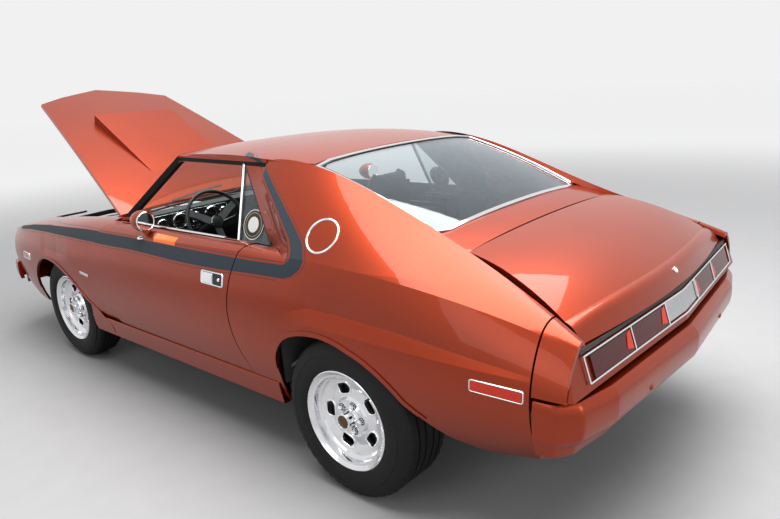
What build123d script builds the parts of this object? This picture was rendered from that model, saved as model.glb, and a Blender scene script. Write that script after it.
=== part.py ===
from build123d import *
import math
import os
from collections import namedtuple

os.makedirs("parts", exist_ok=True)

# Two-seat fastback coupe with its bonnet raised. Millimetres, +Z up. The nose faces -Y, the
# car's left side is +X, the tyres stand on z = 0 and the origin lies below mid length.

# Overall layout
HALF_LENGTH = 2273.5
FRONT_AXLE_Y = -1223.5
REAR_AXLE_Y = 1240.5

# Fits and gaps
PANEL_GAP = 6.5
SEAT_GAP = 0.3
BEARING_GAP = 0.05
GLASS = 5.0

# Body shell
FENDER_WALL = 14.0
QUARTER_WALL = 10.0
FLARE = 4.0
FLARE_WIDTH = 20.0
DOOR_INNER_X = 768.0
DOOR_CORE_INSET = 14.0
CORE_LAP = 4.0
DOOR_BOTTOM_Z = 372.0
SHOULDER_CROWN = 14.0
SAIL_CROWN = 12.0
QUARTER_END_Y = 2040.0
CAP_BOTTOM_Z = 658.0
TAIL_PEAK = 45.0
NOSE_TOP_Z = 712.0

# Bonnet
HOOD_HINGE_Y = -641.0
HOOD_HINGE_Z = 935.0
HOOD_OPEN_DEG = 32.6
HOOD_THICK = 22.0
HINGE_PIN_RADIUS = 4.0
HINGE_EAR_RADIUS = 8.0
HOOD_REAR_Y = -668.0
HOOD_CORNER_Y = -2080.0
HOOD_NOSE_Y = -2250.0
SCOOP_HALF_WIDTH = 290.0
SCOOP_FRONT_Y = -1722.0
SCOOP_REAR_Y = -980.0
SCOOP_HEIGHT = 56.0

# Lid
LID_FRONT_Y = 1653.0
LID_GAP = 8.0
LID_THICK = 22.0

# Floor and frame
FLOOR_Z = 268.0
FLOOR_THICK = 14.0
BOOT_FLOOR_Z = 470.0
SHELF_Z = 760.0
WELL_IN_X = 600.0
TUNNEL_HALF_WIDTH = 140.0
TUNNEL_TOP_Z = 470.0
SHEET = 12.0
ROCKER_IN_X = 745.0
ROCKER_OUT_X = 820.0
FIREWALL_Y = -650.0
RAIL_IN_X = 385.0
RAIL_OUT_X = 445.0
JACK_PAD_X = 700.0
JACK_PAD_YS = (-480.0, 560.0)
JACK_PAD_DROP = 6.0

# Running gear
KINGPIN_X = 682.0
ARM_THICK = 24.0
SPINDLE_RADIUS = 22.0
AXLE_STUB_RADIUS = 30.0

Wheel = namedtuple("Wheel", "name side y tyre_radius tyre_in tyre_out rim_in rim_out disc_x bore")
FRONT_TYRE_RADIUS = 322.0
REAR_TYRE_RADIUS = 330.0
RIM_RADIUS = 210.0
BEAD_RADIUS = 192.0
DROP_RADIUS = 174.0
RIM_WALL = 11.0
SLOT_RING_RADIUS = 120.0
FRONT_DISC_X = 774.0
REAR_DISC_X = 840.0
WHEELS = (
    Wheel("front_left", 1, FRONT_AXLE_Y, FRONT_TYRE_RADIUS, 650, 842, 669, 832, FRONT_DISC_X,
          SPINDLE_RADIUS),
    Wheel("front_right", -1, FRONT_AXLE_Y, FRONT_TYRE_RADIUS, 650, 842, 669, 832, FRONT_DISC_X,
          SPINDLE_RADIUS),
    Wheel("rear_left", 1, REAR_AXLE_Y, REAR_TYRE_RADIUS, 651, 904, 674, 898, REAR_DISC_X,
          AXLE_STUB_RADIUS),
    Wheel("rear_right", -1, REAR_AXLE_Y, REAR_TYRE_RADIUS, 651, 904, 674, 898, REAR_DISC_X,
          AXLE_STUB_RADIUS),
)

# Steering wheel
HUB = Vector(360.0, -215.0, 880.0)
COLUMN_TILT_DEG = 25.0
WHEEL_RIM_RADIUS = 185.0

Station = namedtuple("Station", "y sill_x sill_z waist_x waist_z belt_x belt_z top_x top_z lip turn")
FENDER_STATIONS = (
    Station(-2270, 652, 440, 712, 566, 682, 708, -40, 741, 14, 0),
    Station(-2150, 700, 400, 768, 560, 728, 718, 300, 752, 14, 0),
    Station(-1850, 778, 310, 840, 585, 803, 785, 522, 793, 14, 0),
    Station(-1540, 806, 292, 874, 600, 832, 832, 573, 833, 14, 0),
    Station(-1223, 818, 288, 893, 608, 848, 862, 625, 873, 14, 0),
    Station(-900, 824, 286, 901, 611, 856, 882, 678, 913, 14, 0),
    Station(-500, 828, 286, 904, 613, 859, 903, 735, 945, 14, 0),
)
DOOR_STATIONS = (
    Station(-760, 826, 286, 902, 611, 858, 889, 776, 928, 14, 0),
    Station(-350, 828, 286, 904, 613, 858, 905, 772, 943, 14, 0),
    Station(0, 829, 286, 905, 615, 857, 913, 770, 948, 14, 0),
    Station(350, 830, 287, 906, 618, 856, 923, 770, 951, 14, 0),
    Station(720, 832, 289, 907, 628, 854, 934, 770, 953, 14, 0),
)
QUARTER_STATIONS = (
    Station(540, 831, 286, 906, 622, 855, 929, 606, 1284, 40, 12),
    Station(900, 834, 290, 906, 637, 850, 945, 590, 1268, 40, 12),
    Station(1240, 831, 300, 905, 650, 846, 940, 590, 1165, 38, 12),
    Station(1520, 824, 326, 904, 655, 838, 920, 604, 1058, 32, 6),
    Station(1800, 812, 362, 896, 652, 824, 884, 650, 955, 24, 2),
    Station(2155, 785, 430, 868, 632, 795, 802, 746, 815, 16, 2),
)


def side_face(row, wall, crown):
    """Closed half section of the body side: sill, waist, belt, top edge, then the inner face."""
    middle = Vector((row.belt_x + row.top_x) / 2, (row.belt_z + row.top_z) / 2)
    chord = Vector(row.top_x - row.belt_x, row.top_z - row.belt_z)
    outward = Vector(chord.Y, -chord.X).normalized()
    outer = middle + outward * crown
    lip_x = row.top_x - row.turn
    inner = Vector((row.belt_x - wall + lip_x) / 2, (row.belt_z - wall + row.top_z - row.lip) / 2)
    inner_mid = inner + outward * crown
    with BuildSketch(Plane.XZ.offset(-row.y)) as face:
        with BuildLine():
            ThreePointArc((row.sill_x, row.sill_z), (row.waist_x, row.waist_z), (row.belt_x, row.belt_z))
            ThreePointArc((row.belt_x, row.belt_z), (outer.X, outer.Y), (row.top_x, row.top_z))
            Line((row.top_x, row.top_z), (lip_x, row.top_z - row.lip))
            ThreePointArc((lip_x, row.top_z - row.lip), (inner_mid.X, inner_mid.Y),
                          (row.belt_x - wall, row.belt_z - wall))
            ThreePointArc((row.belt_x - wall, row.belt_z - wall), (row.waist_x - wall, row.waist_z),
                          (row.sill_x - wall, row.sill_z))
            Line((row.sill_x - wall, row.sill_z), (row.sill_x, row.sill_z))
        make_face()
    return face.sketch


def door_face(row):
    """Closed half section of the door core: inside the outer skin, with a flat inner face."""
    belt = Vector(row.belt_x - CORE_LAP, row.belt_z - CORE_LAP)
    top = Vector(row.top_x, row.top_z - CORE_LAP)
    outer = (belt + top) / 2 + Vector(top.Y - belt.Y, belt.X - top.X).normalized() * 8
    sill = (row.sill_x - CORE_LAP, row.sill_z)
    with BuildSketch(Plane.XZ.offset(-row.y)) as face:
        with BuildLine():
            ThreePointArc(sill, (row.waist_x - CORE_LAP, row.waist_z), (belt.X, belt.Y))
            ThreePointArc((belt.X, belt.Y), (outer.X, outer.Y), (top.X, top.Y))
            Polyline((top.X, top.Y), (DOOR_INNER_X, row.top_z - 12), (DOOR_INNER_X, row.sill_z), sill)
        make_face()
    return face.sketch


def outline_yz(points):
    """Side view face on the X = 0 plane from (y, z) points."""
    with BuildSketch(Plane.YZ) as face:
        with BuildLine():
            Polyline(*points, close=True)
        make_face()
    return face.sketch


def front_xz(points, y):
    """Front view face at the given y from (x, z) points."""
    with BuildSketch(Plane.XZ.offset(-y)) as face:
        with BuildLine():
            Polyline(*points, close=True)
        make_face()
    return face.sketch


def plan_xy(points, z):
    """Plan view face at height z from (x, y) points."""
    with BuildSketch(Plane.XY.offset(z)) as face:
        with BuildLine():
            Polyline(*points, close=True)
        make_face()
    return face.sketch


def block(x, y, z, mode=Mode.ADD):
    """Box between three (low, high) pairs."""
    with Locations(((x[0] + x[1]) / 2, (y[0] + y[1]) / 2, (z[0] + z[1]) / 2)):
        Box(x[1] - x[0], y[1] - y[0], z[1] - z[0], mode=mode)


def profile_at(x, top, thick):
    """Side profile at x: an arc through three (y, z) points and the same arc lowered."""
    low = [(y, z - thick) for y, z in top]
    with BuildSketch(Plane.YZ.offset(x)) as face:
        with BuildLine():
            ThreePointArc(*top)
            Line(top[2], low[2])
            ThreePointArc(*reversed(low))
            Line(low[0], top[0])
        make_face()
    return face.sketch


def crowned(rows, thick):
    """Faces of a panel that runs across the car, mirrored from rows of (x, three points)."""
    faces = [profile_at(-x, top, thick) for x, top in reversed(rows) if x > 0]
    faces += [profile_at(x, top, thick) for x, top in rows]
    return faces


def bar(start, end, width, height, start_scale=1.0):
    """Straight bar of rectangular section between two points."""
    start = Vector(*start)
    end = Vector(*end)
    along = (end - start).normalized()
    with BuildPart() as piece:
        with BuildSketch(Plane(start, x_dir=Vector(0, 0, 1).cross(along), z_dir=along)):
            Rectangle(width * start_scale, height * start_scale)
        with BuildSketch(Plane(end, x_dir=Vector(0, 0, 1).cross(along), z_dir=along)):
            Rectangle(width, height)
        loft()
    return piece.part


def tube(points, radius, bend):
    """Round tube along a rounded path."""
    with BuildPart() as piece:
        with BuildLine() as path:
            FilletPolyline(*points, radius=bend)
        with BuildSketch(Plane(path.line @ 0, z_dir=path.line % 0)):
            Circle(radius)
        sweep()
    return piece.part


# Side view outlines, (y, z)
def door_face_outline(grow):
    """Door edge in side view, moved outwards by grow."""
    low = DOOR_BOTTOM_Z - grow
    with BuildSketch(Plane.YZ) as face:
        with BuildLine():
            ThreePointArc((-500 - grow, low), (-632 - grow, 500), (-690 - grow, 660))
            ThreePointArc((-690 - grow, 660), (-658 - grow, 795), (-548 - grow, 975 + grow))
            Line((-548 - grow, 975 + grow), (656 + grow, 975 + grow))
            ThreePointArc((656 + grow, 975 + grow), (590 + grow, 820), (565 + grow, 660))
            ThreePointArc((565 + grow, 660), (594 + grow, 510), (672 + grow, low))
            Line((672 + grow, low), (-500 - grow, low))
        make_face()
    return face.sketch


door_outline = door_face_outline(0)
door_gap_outline = door_face_outline(PANEL_GAP)
door_core_outline = door_face_outline(-DOOR_CORE_INSET)


def arch_face(axle_y, radius, corners):
    """Wheel opening in side view from offsets to the wheel centre: sill, three arcs, sill."""
    at = [(axle_y + dy, radius + dz) for dy, dz in corners]
    with BuildSketch(Plane.YZ) as face:
        with BuildLine():
            Polyline(*at[0:3])
            ThreePointArc(*at[2:5])
            ThreePointArc(*at[4:7])
            ThreePointArc(*at[6:9])
            Polyline(*at[8:], at[0])
        make_face()
    return face.sketch


def flare_lip(arch, stations, crown, low_z):
    """Raised lip round a wheel opening, following the body side, above low_z."""
    ring = offset(arch, amount=FLARE_WIDTH) - arch
    rows = [row._replace(sill_x=row.sill_x + FLARE, waist_x=row.waist_x + FLARE, belt_x=row.belt_x + FLARE)
            for row in stations]
    with BuildPart() as lip:
        loft(sections=[side_face(row, FLARE + CORE_LAP, crown) for row in rows])
        extrude(ring, amount=1000, mode=Mode.INTERSECT)
        block((0, 1000), (-2400, 2400), (0, low_z), mode=Mode.SUBTRACT)
    return lip.part


front_arch = arch_face(FRONT_AXLE_Y, FRONT_TYRE_RADIUS, (
    (523.5, -82), (523.5, 18), (353.5, 142), (218.5, 241), (87.5, 295), (-56.5, 323), (-176.5, 316),
    (-286.5, 253), (-386.5, 108), (-421.5, -82)))
rear_arch = arch_face(REAR_AXLE_Y, REAR_TYRE_RADIUS, (
    (-390.5, -90), (-388.5, 0), (-383.5, 95), (-348.5, 235), (-240.5, 308), (-110.5, 330), (58.5, 302),
    (193.5, 247), (300, 160), (370, 118), (425, 86), (480, 62), (660, 30), (660, -90)))

# Bonnet outline in plan, (x, y), and the opening that leaves a gap round it
hood_side = [(420, HOOD_REAR_Y + 6), (700, HOOD_REAR_Y + 20), (479, HOOD_CORNER_Y), (300, -2158)]
hood_plan = [(0, HOOD_REAR_Y - 2), *hood_side, (0, HOOD_NOSE_Y), *[(-x, y) for x, y in reversed(hood_side)]]
hood_opening = offset(plan_xy(hood_plan, 700), amount=PANEL_GAP, kind=Kind.INTERSECTION)

# Front fenders, cut off along the V of the nose
nose_front = [(1000, -2085), (0, -2240), (-100, -2240), (-100, -2600), (1000, -2600)]
with BuildPart() as fender_left:
    loft(sections=[side_face(row, FENDER_WALL, SHOULDER_CROWN) for row in FENDER_STATIONS])
    extrude(front_arch, amount=1000, mode=Mode.SUBTRACT)
    add(flare_lip(front_arch, FENDER_STATIONS, SHOULDER_CROWN, 400))
    extrude(plan_xy(nose_front, 0), amount=1400, mode=Mode.SUBTRACT)
    extrude(hood_opening, amount=300, mode=Mode.SUBTRACT)
    extrude(door_gap_outline, amount=1000, mode=Mode.SUBTRACT)
    block((0, 1000), (-560, 0), (DOOR_BOTTOM_Z + 200, 1200), mode=Mode.SUBTRACT)
fender_left.part.label = "fender_left"
with BuildPart() as fender_right:
    mirror(fender_left.part, about=Plane.YZ)
fender_right.part.label = "fender_right"

# Doors: a skin and a core set in from its edge, with the window slot along the top
with BuildPart() as door_core:
    loft(sections=[door_face(row) for row in DOOR_STATIONS])
    extrude(door_core_outline, amount=1000, mode=Mode.INTERSECT)
with BuildPart() as door_left:
    loft(sections=[side_face(row, FENDER_WALL, 8) for row in DOOR_STATIONS])
    extrude(door_outline, amount=1000, mode=Mode.INTERSECT)
    add(door_core.part)
    block((DOOR_INNER_X + 12, DOOR_INNER_X + 24), (-470, 560), (840, 1000), mode=Mode.SUBTRACT)
door_left.part.label = "door_left"
with BuildPart() as door_right:
    mirror(door_left.part, about=Plane.YZ)
door_right.part.label = "door_right"

# Rear quarters, cut off at the seam where the end caps begin
with BuildPart() as quarter_shell:
    loft(sections=[side_face(row, QUARTER_WALL, SAIL_CROWN) for row in QUARTER_STATIONS])
with BuildPart() as quarter_left:
    add(quarter_shell.part)
    extrude(rear_arch, amount=1000, mode=Mode.SUBTRACT)
    add(flare_lip(rear_arch, QUARTER_STATIONS, SAIL_CROWN, 456))
    extrude(door_gap_outline, amount=1000, mode=Mode.SUBTRACT)
    extrude(outline_yz([(300, 925), (716, 925), (583, 1290), (583, 1400), (300, 1400)]), amount=1000,
            mode=Mode.SUBTRACT)
    block((0, 1000), (QUARTER_END_Y, 2400), (0, 1400), mode=Mode.SUBTRACT)
quarter_left.part.label = "quarter_left"
with BuildPart() as quarter_right:
    mirror(quarter_left.part, about=Plane.YZ)
quarter_right.part.label = "quarter_right"

# Roof with its side rails and windscreen pillars
ROOF_ROWS = (
    (0, ((-198, 1303), (320, 1334), (848, 1300))),
    (320, ((-190, 1299), (325, 1328), (848, 1294))),
    (625, ((-150, 1272), (330, 1300), (848, 1262))),
)
roof_plan = [(-566, -148), (-300, -184), (0, -195), (300, -184), (566, -148), (600, 200), (610, 560),
             (600, 700), (560, 842), (0, 836), (-560, 842), (-600, 700), (-610, 560), (-600, 200)]
pillar = bar((722, -556, 925), (574, -140, 1272), 44, 30)
rail = bar((576, -150, 1270), (600, 590, 1272), 30, 30)
with BuildPart() as roof:
    loft(sections=crowned(ROOF_ROWS, 22))
    extrude(plan_xy(roof_plan, 1000), amount=500, mode=Mode.INTERSECT)
    add(pillar)
    mirror(pillar, about=Plane.YZ)
    add(rail)
    mirror(rail, about=Plane.YZ)
    add(quarter_left.part, mode=Mode.SUBTRACT)
    add(quarter_right.part, mode=Mode.SUBTRACT)
roof.part.label = "roof"

# Rear window between the sail panels, and the deck strip behind it
REAR_WINDOW_ROWS = (
    (0, ((838, 1296), (1170, 1196), (1508, 1056))),
    (330, ((838, 1290), (1170, 1189), (1506, 1050))),
    (610, ((838, 1266), (1170, 1166), (1500, 1026))),
)
with BuildPart() as rear_window:
    loft(sections=crowned(REAR_WINDOW_ROWS, GLASS))
    add(quarter_left.part, mode=Mode.SUBTRACT)
    add(quarter_right.part, mode=Mode.SUBTRACT)
    add(roof.part, mode=Mode.SUBTRACT)
    block((-900, -575), (700, 1700), (900, 1400), mode=Mode.SUBTRACT)
    block((575, 900), (700, 1700), (900, 1400), mode=Mode.SUBTRACT)
rear_window.part.label = "rear_window"
DECK_ROWS = (
    (0, ((1500, 1056), (1575, 1040), (LID_FRONT_Y - LID_GAP, 1018))),
    (330, ((1498, 1051), (1570, 1035), (LID_FRONT_Y - LID_GAP, 1012))),
    (640, ((1492, 1026), (1560, 1012), (LID_FRONT_Y - LID_GAP, 988))),
)
with BuildPart() as deck_panel:
    loft(sections=crowned(DECK_ROWS, 18))
    add(quarter_left.part, mode=Mode.SUBTRACT)
    add(quarter_right.part, mode=Mode.SUBTRACT)
    add(rear_window.part, mode=Mode.SUBTRACT)
deck_panel.part.label = "deck_panel"

# Windscreen
SCREEN_ROWS = (
    (0, ((-648, 944), (-430, 1126), (-196, 1304))),
    (380, ((-628, 940), (-413, 1120), (-186, 1297))),
    (735, ((-560, 926), (-350, 1104), (-130, 1272))),
)
with BuildPart() as windshield:
    loft(sections=crowned(SCREEN_ROWS, GLASS))
    extrude(front_xz([(-716, 900), (716, 900), (556, 1320), (-556, 1320)], 0), amount=900,
            mode=Mode.INTERSECT)
    add(roof.part, mode=Mode.SUBTRACT)
windshield.part.label = "windshield"

# Fixed quarter windows, leaning in towards the roof
lean = Plane(origin=(738, 0, 915), x_dir=(0, 1, 0), z_dir=(0.933, 0, 0.359))
with BuildPart() as quarter_pane:
    with BuildSketch(lean):
        with BuildLine():
            Polyline((437, 0), (722, 0), (606, 384), (566, 380), close=True)
        make_face()
    extrude(amount=-GLASS)
with BuildPart() as quarter_glass:
    add(quarter_pane.part)
    mirror(quarter_pane.part, about=Plane.YZ)
    add(quarter_left.part, mode=Mode.SUBTRACT)
    add(quarter_right.part, mode=Mode.SUBTRACT)
    add(roof.part, mode=Mode.SUBTRACT)
quarter_glass.part.label = "quarter_glass"

# Bonnet with its scoop, drawn closed and swung up about its rear hinges
HOOD_ROWS = (
    (0, ((-664, 960), (-1450, 867), (-2262, 745))),
    (360, ((-664, 955), (-1450, 861), (-2262, 741))),
    (740, ((-650, 940), (-1450, 845), (-2262, 728))),
)
scoop_side = [(SCOOP_FRONT_Y, 822), (SCOOP_FRONT_Y - 12, 822 + SCOOP_HEIGHT), (-1400, 898),
              (SCOOP_REAR_Y, 921), (SCOOP_REAR_Y, 905), (-1350, 862)]
with BuildPart() as hood_closed:
    loft(sections=crowned(HOOD_ROWS, HOOD_THICK))
    extrude(plan_xy(hood_plan, 600), amount=500, mode=Mode.INTERSECT)
    extrude(outline_yz(scoop_side), amount=SCOOP_HALF_WIDTH, both=True)
    block((-SCOOP_HALF_WIDTH + 18, SCOOP_HALF_WIDTH - 18), (SCOOP_FRONT_Y - 30, SCOOP_FRONT_Y + 60),
          (832, 866), mode=Mode.SUBTRACT)
with BuildPart() as hood_with_ears:
    add(hood_closed.part)
    for x in (-600, 600):
        block((x - 4, x + 4), (-700, HOOD_HINGE_Y), (HOOD_HINGE_Z - HINGE_EAR_RADIUS, HOOD_HINGE_Z + 6))
        with Locations(Location((x, HOOD_HINGE_Y, HOOD_HINGE_Z), (0, 90, 0))):
            Cylinder(HINGE_EAR_RADIUS, 8)
            Cylinder(HINGE_PIN_RADIUS + BEARING_GAP, 40, mode=Mode.SUBTRACT)
with BuildPart() as hood:
    add(hood_with_ears.part.rotate(Axis((0, HOOD_HINGE_Y, HOOD_HINGE_Z), (1, 0, 0)), -HOOD_OPEN_DEG))
hood.part.label = "hood"

# Rear lid, rolled down at its tail
LID_ROWS = (
    (0, 1016, 974, 870, 842, 2176, 2196, 794),
    (360, 1010, 969, 868, 838, 2158, 2178, 793),
    (735, 988, 944, 846, 822, 2112, 2132, 792),
)


def lid_face(x, front_z, middle_z, rear_z, roll_z, roll_y, tail_y, tail_z):
    """Side profile of the rear lid at x: deck arc, rolled corner and tail, closed underneath."""
    with BuildSketch(Plane.YZ.offset(x)) as face:
        with BuildLine():
            ThreePointArc((LID_FRONT_Y, front_z), (1850, middle_z), (roll_y - 46, rear_z))
            ThreePointArc((roll_y - 46, rear_z), (roll_y - 14, rear_z - 12), (roll_y, roll_z))
            Line((roll_y, roll_z), (tail_y, tail_z))
            Polyline((tail_y, tail_z), (tail_y - 26, tail_z), (roll_y - 40, roll_z - 10),
                     (roll_y - 70, rear_z - LID_THICK))
            ThreePointArc((roll_y - 70, rear_z - LID_THICK), (1850, middle_z - LID_THICK),
                          (LID_FRONT_Y, front_z - LID_THICK))
            Line((LID_FRONT_Y, front_z - LID_THICK), (LID_FRONT_Y, front_z))
        make_face()
    return face.sketch


lid_sections = [lid_face(-row[0], *row[1:]) for row in reversed(LID_ROWS) if row[0] > 0]
lid_sections += [lid_face(*row) for row in LID_ROWS]
lid_side = [(606, LID_FRONT_Y), (634, 1800), (686, 2000), (718, 2120), (728, 2240)]
lid_plan = [(0, LID_FRONT_Y), *lid_side, *[(-x, y) for x, y in reversed(lid_side)]]
with BuildPart() as trunk_lid:
    loft(sections=lid_sections)
    extrude(plan_xy(lid_plan, 600), amount=600, mode=Mode.INTERSECT)
trunk_lid.part.label = "trunk_lid"

# Tail panel with the quarter end caps: half width and y of its ends at three heights
TAIL_ROWS = ((CAP_BOTTOM_Z, 862, 2140.5), (720, 846, 2122.5), (785, 806, 2105))


def tail_face(z, half, y, shift):
    """Plan section of the peaked tail panel, moved back by shift."""
    peak = TAIL_PEAK * half / 710
    back = y + shift + 31
    return plan_xy([(-half, y + shift), (0, y + peak + shift), (half, y + shift), (half - 14, back),
                    (0, back + peak), (14 - half, back)], z)


with BuildPart() as cap:
    add(quarter_shell.part)
    block((0, 1000), (0, QUARTER_END_Y + PANEL_GAP), (0, 1400), mode=Mode.SUBTRACT)
    block((0, 1000), (0, 2400), (0, CAP_BOTTOM_Z), mode=Mode.SUBTRACT)
with BuildPart() as tail_panel:
    loft(sections=[tail_face(*row, 0) for row in TAIL_ROWS])
    add(cap.part)
    mirror(cap.part, about=Plane.YZ)
    for x in (-360, 360):
        block((x - 14, x + 14), (2150, 2160), (780, 793 - SEAT_GAP))
tail_panel.part.label = "tail_panel"

# Tail lamps, two either side of the blank centre bay, laid on the face of the tail panel
with BuildPart() as tail_lamps:
    loft(sections=[tail_face(*row, 8) for row in TAIL_ROWS])
    block((-1000, 1000), (2000, 2400), (690, 760), mode=Mode.INTERSECT)
    add(tail_panel.part, mode=Mode.SUBTRACT)
    for x in ((-1000, -712), (-446, -434), (-168, 168), (434, 446), (712, 1000)):
        block(x, (2000, 2400), (600, 800), mode=Mode.SUBTRACT)
tail_lamps.part.label = "tail_lamps"

# Bumpers, pointed in plan and wrapped round the corners
def bumper_faces(corners, inner, rows):
    """Plan sections of half a bumper; rows give height and how far back and in its outside sits."""
    end_x, end_y = corners[-1]
    depth = abs(corners[0][1] - end_y)
    faces = []
    for z, back, side in rows:
        outer = [(x - side * x / end_x, y - back * (y - end_y) / depth) for x, y in corners]
        with BuildSketch(Plane.XY.offset(z)) as face:
            with BuildLine():
                FilletPolyline(*outer, radius=30)
                Polyline(outer[-1], *inner, outer[0])
            make_face()
        faces.append(face.sketch)
    return faces


rear_corners = [(0, HALF_LENGTH), (640, 2226), (806, 2186), (866, 2122), (874, 2046)]
rear_inner = [(838, 2046), (826, 2096), (760, 2130), (600, 2150), (0, 2186)]
valance_inner = [(826, 2046), (812, 2090), (750, 2112), (600, 2132), (0, 2166)]
with BuildPart() as rear_bumper:
    loft(sections=bumper_faces(rear_corners, rear_inner, (
        (488, 46, 12), (518, 12, 3), (572, 0, 0), (618, 8, 2), (640, 34, 8))))
    loft(sections=bumper_faces(rear_corners, valance_inner, ((446, 76, 26), (470, 62, 18), (492, 56, 14))))
    block((280, 330), (2130, 2200), (560, 600))
    mirror(about=Plane.YZ)
    add(tail_panel.part, mode=Mode.SUBTRACT)
    add(quarter_left.part, mode=Mode.SUBTRACT)
    add(quarter_right.part, mode=Mode.SUBTRACT)
rear_bumper.part.label = "rear_bumper"

# Nose panel, lamps, grille and front bumper
def nose_face(z, back):
    """Plan section of the V-shaped nose wall, its outside set back."""
    return plan_xy([(-736, back - 2148), (0, back - 2262), (736, back - 2148), (736, -2126), (0, -2240),
                    (-736, -2126)], z)


with BuildPart() as nose_panel:
    loft(sections=[nose_face(330, 12), nose_face(440, 3), nose_face(600, 0), nose_face(NOSE_TOP_Z, 10)])
    block((-690, 690), (-2300, -2000), (540, 698), mode=Mode.SUBTRACT)
    add(fender_left.part, mode=Mode.SUBTRACT)
    add(fender_right.part, mode=Mode.SUBTRACT)
nose_panel.part.label = "nose_panel"
with BuildPart() as headlamps:
    for x in (-596, 596):
        with Locations(Location((x, -2112, 620), (90, 0, 0))):
            Cylinder(78, 70)
        with BuildSketch(Plane(origin=(x, -2147, 620), x_dir=(1, 0, 0), z_dir=(0, 0, 1))):
            with BuildLine():
                ThreePointArc((0, -24), (42, -17), (78, 0))
                Polyline((78, 0), (0, 0), (0, -24))
            make_face()
        revolve(axis=Axis((x, -2147, 620), (0, 1, 0)))
headlamps.part.label = "headlamps"
with BuildPart() as grille:
    extrude(plan_xy([(-715, -2129), (0, -2240), (715, -2129), (715, -2119), (0, -2230), (-715, -2119)], 528),
            amount=184)
    for z in (560, 588, 616, 644, 672):
        block((-490, 490), (-2300, -2000), (z - 7, z + 7), mode=Mode.SUBTRACT)
    for x in (-596, 596):
        with Locations(Location((x, -2130, 620), (90, 0, 0))):
            Cylinder(78 + SEAT_GAP, 160, mode=Mode.SUBTRACT)
    add(fender_left.part, mode=Mode.SUBTRACT)
    add(fender_right.part, mode=Mode.SUBTRACT)
    add(nose_panel.part, mode=Mode.SUBTRACT)
grille.part.label = "grille"
front_corners = [(0, -HALF_LENGTH), (690, -2186), (800, -2118), (826, -2010)]
front_inner = [(796, -2010), (766, -2096), (676, -2128), (0, -2226)]
with BuildPart() as front_bumper:
    loft(sections=bumper_faces(front_corners, front_inner, (
        (392, 30, 8), (420, 6, 2), (460, 0, 0), (496, 6, 2), (516, 24, 6))))
    mirror(about=Plane.YZ)
    add(nose_panel.part, mode=Mode.SUBTRACT)
    add(fender_left.part, mode=Mode.SUBTRACT)
    add(fender_right.part, mode=Mode.SUBTRACT)
front_bumper.part.label = "front_bumper"

# Floor with tunnel, rockers, pillars, wheel houses, boot floor, shelf and rear rails
well_front_y = REAR_AXLE_Y - 404.5
well_rear_y = REAR_AXLE_Y + 431.5
well_top_z = REAR_TYRE_RADIUS + 378
kick_up = [(640, FLOOR_Z), (905, BOOT_FLOOR_Z), (905, BOOT_FLOOR_Z + SHEET), (636, FLOOR_Z + FLOOR_THICK)]
with BuildPart() as floor_side:
    block((0, ROCKER_OUT_X), (-690, 640), (FLOOR_Z, FLOOR_Z + FLOOR_THICK))
    block((ROCKER_IN_X, ROCKER_OUT_X), (-690, 838), (FLOOR_Z, DOOR_BOTTOM_Z - 8))
    extrude(outline_yz(kick_up), amount=ROCKER_OUT_X - 10)
    block((0, 600), (900, 2130), (BOOT_FLOOR_Z, BOOT_FLOOR_Z + SHEET))
    block((TUNNEL_HALF_WIDTH - SHEET, TUNNEL_HALF_WIDTH), (FIREWALL_Y, 880), (FLOOR_Z, TUNNEL_TOP_Z))
    block((0, TUNNEL_HALF_WIDTH), (FIREWALL_Y, 900), (TUNNEL_TOP_Z, TUNNEL_TOP_Z + SHEET))
    block((700, 834), (-780, -706), (FLOOR_Z, 868))
    block((ROCKER_OUT_X - 60, 840), (-706, -690), (FLOOR_Z, DOOR_BOTTOM_Z - 8))
    block((700, 848), (694, 790), (FLOOR_Z, 905))
    block((700, 750), (430, 790), (882, 905))
    block((0, 720), (800, 812), (395, SHELF_Z))
    block((0, 600), (800, 1494), (SHELF_Z, SHELF_Z + SHEET))
    block((0, 600), (1482, 1494), (SHELF_Z, 1008))
    block((WELL_IN_X - SHEET, WELL_IN_X), (812, well_rear_y + SHEET), (BOOT_FLOOR_Z, SHELF_Z + SHEET))
    block((WELL_IN_X, 845), (well_front_y, well_front_y + SHEET), (366, well_top_z + SHEET))
    block((WELL_IN_X, 862), (well_front_y + SHEET, well_rear_y), (well_top_z, well_top_z + SHEET))
    block((WELL_IN_X, 862), (well_rear_y, well_rear_y + SHEET), (BOOT_FLOOR_Z, well_top_z + SHEET))
    block((WELL_IN_X - SHEET, WELL_IN_X), (well_rear_y - SHEET, 2130), (BOOT_FLOOR_Z, 560))
    block((WELL_IN_X, 780), (well_rear_y + SHEET, 2030), (548, 560))
    block((0, 780), (2118, 2130), (BOOT_FLOOR_Z, 760))
    block((500, 580), (880, 2118), (410, BOOT_FLOOR_Z))
    block((740, DOOR_INNER_X - SEAT_GAP), (555, 585), (886, 912))
    block((0, TUNNEL_HALF_WIDTH - SHEET), (-700, 896), (0, TUNNEL_TOP_Z), mode=Mode.SUBTRACT)
    for y in JACK_PAD_YS:
        block((JACK_PAD_X - 35, JACK_PAD_X + 35), (y - 35, y + 35), (FLOOR_Z - JACK_PAD_DROP, FLOOR_Z))
with BuildPart() as floor_pan:
    add(floor_side.part)
    mirror(floor_side.part, about=Plane.YZ)
    for piece in (fender_left, fender_right, quarter_left, quarter_right, deck_panel, tail_panel, rear_window,
                  rear_bumper):
        add(piece.part, mode=Mode.SUBTRACT)
floor_pan.part.label = "floor_pan"

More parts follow.
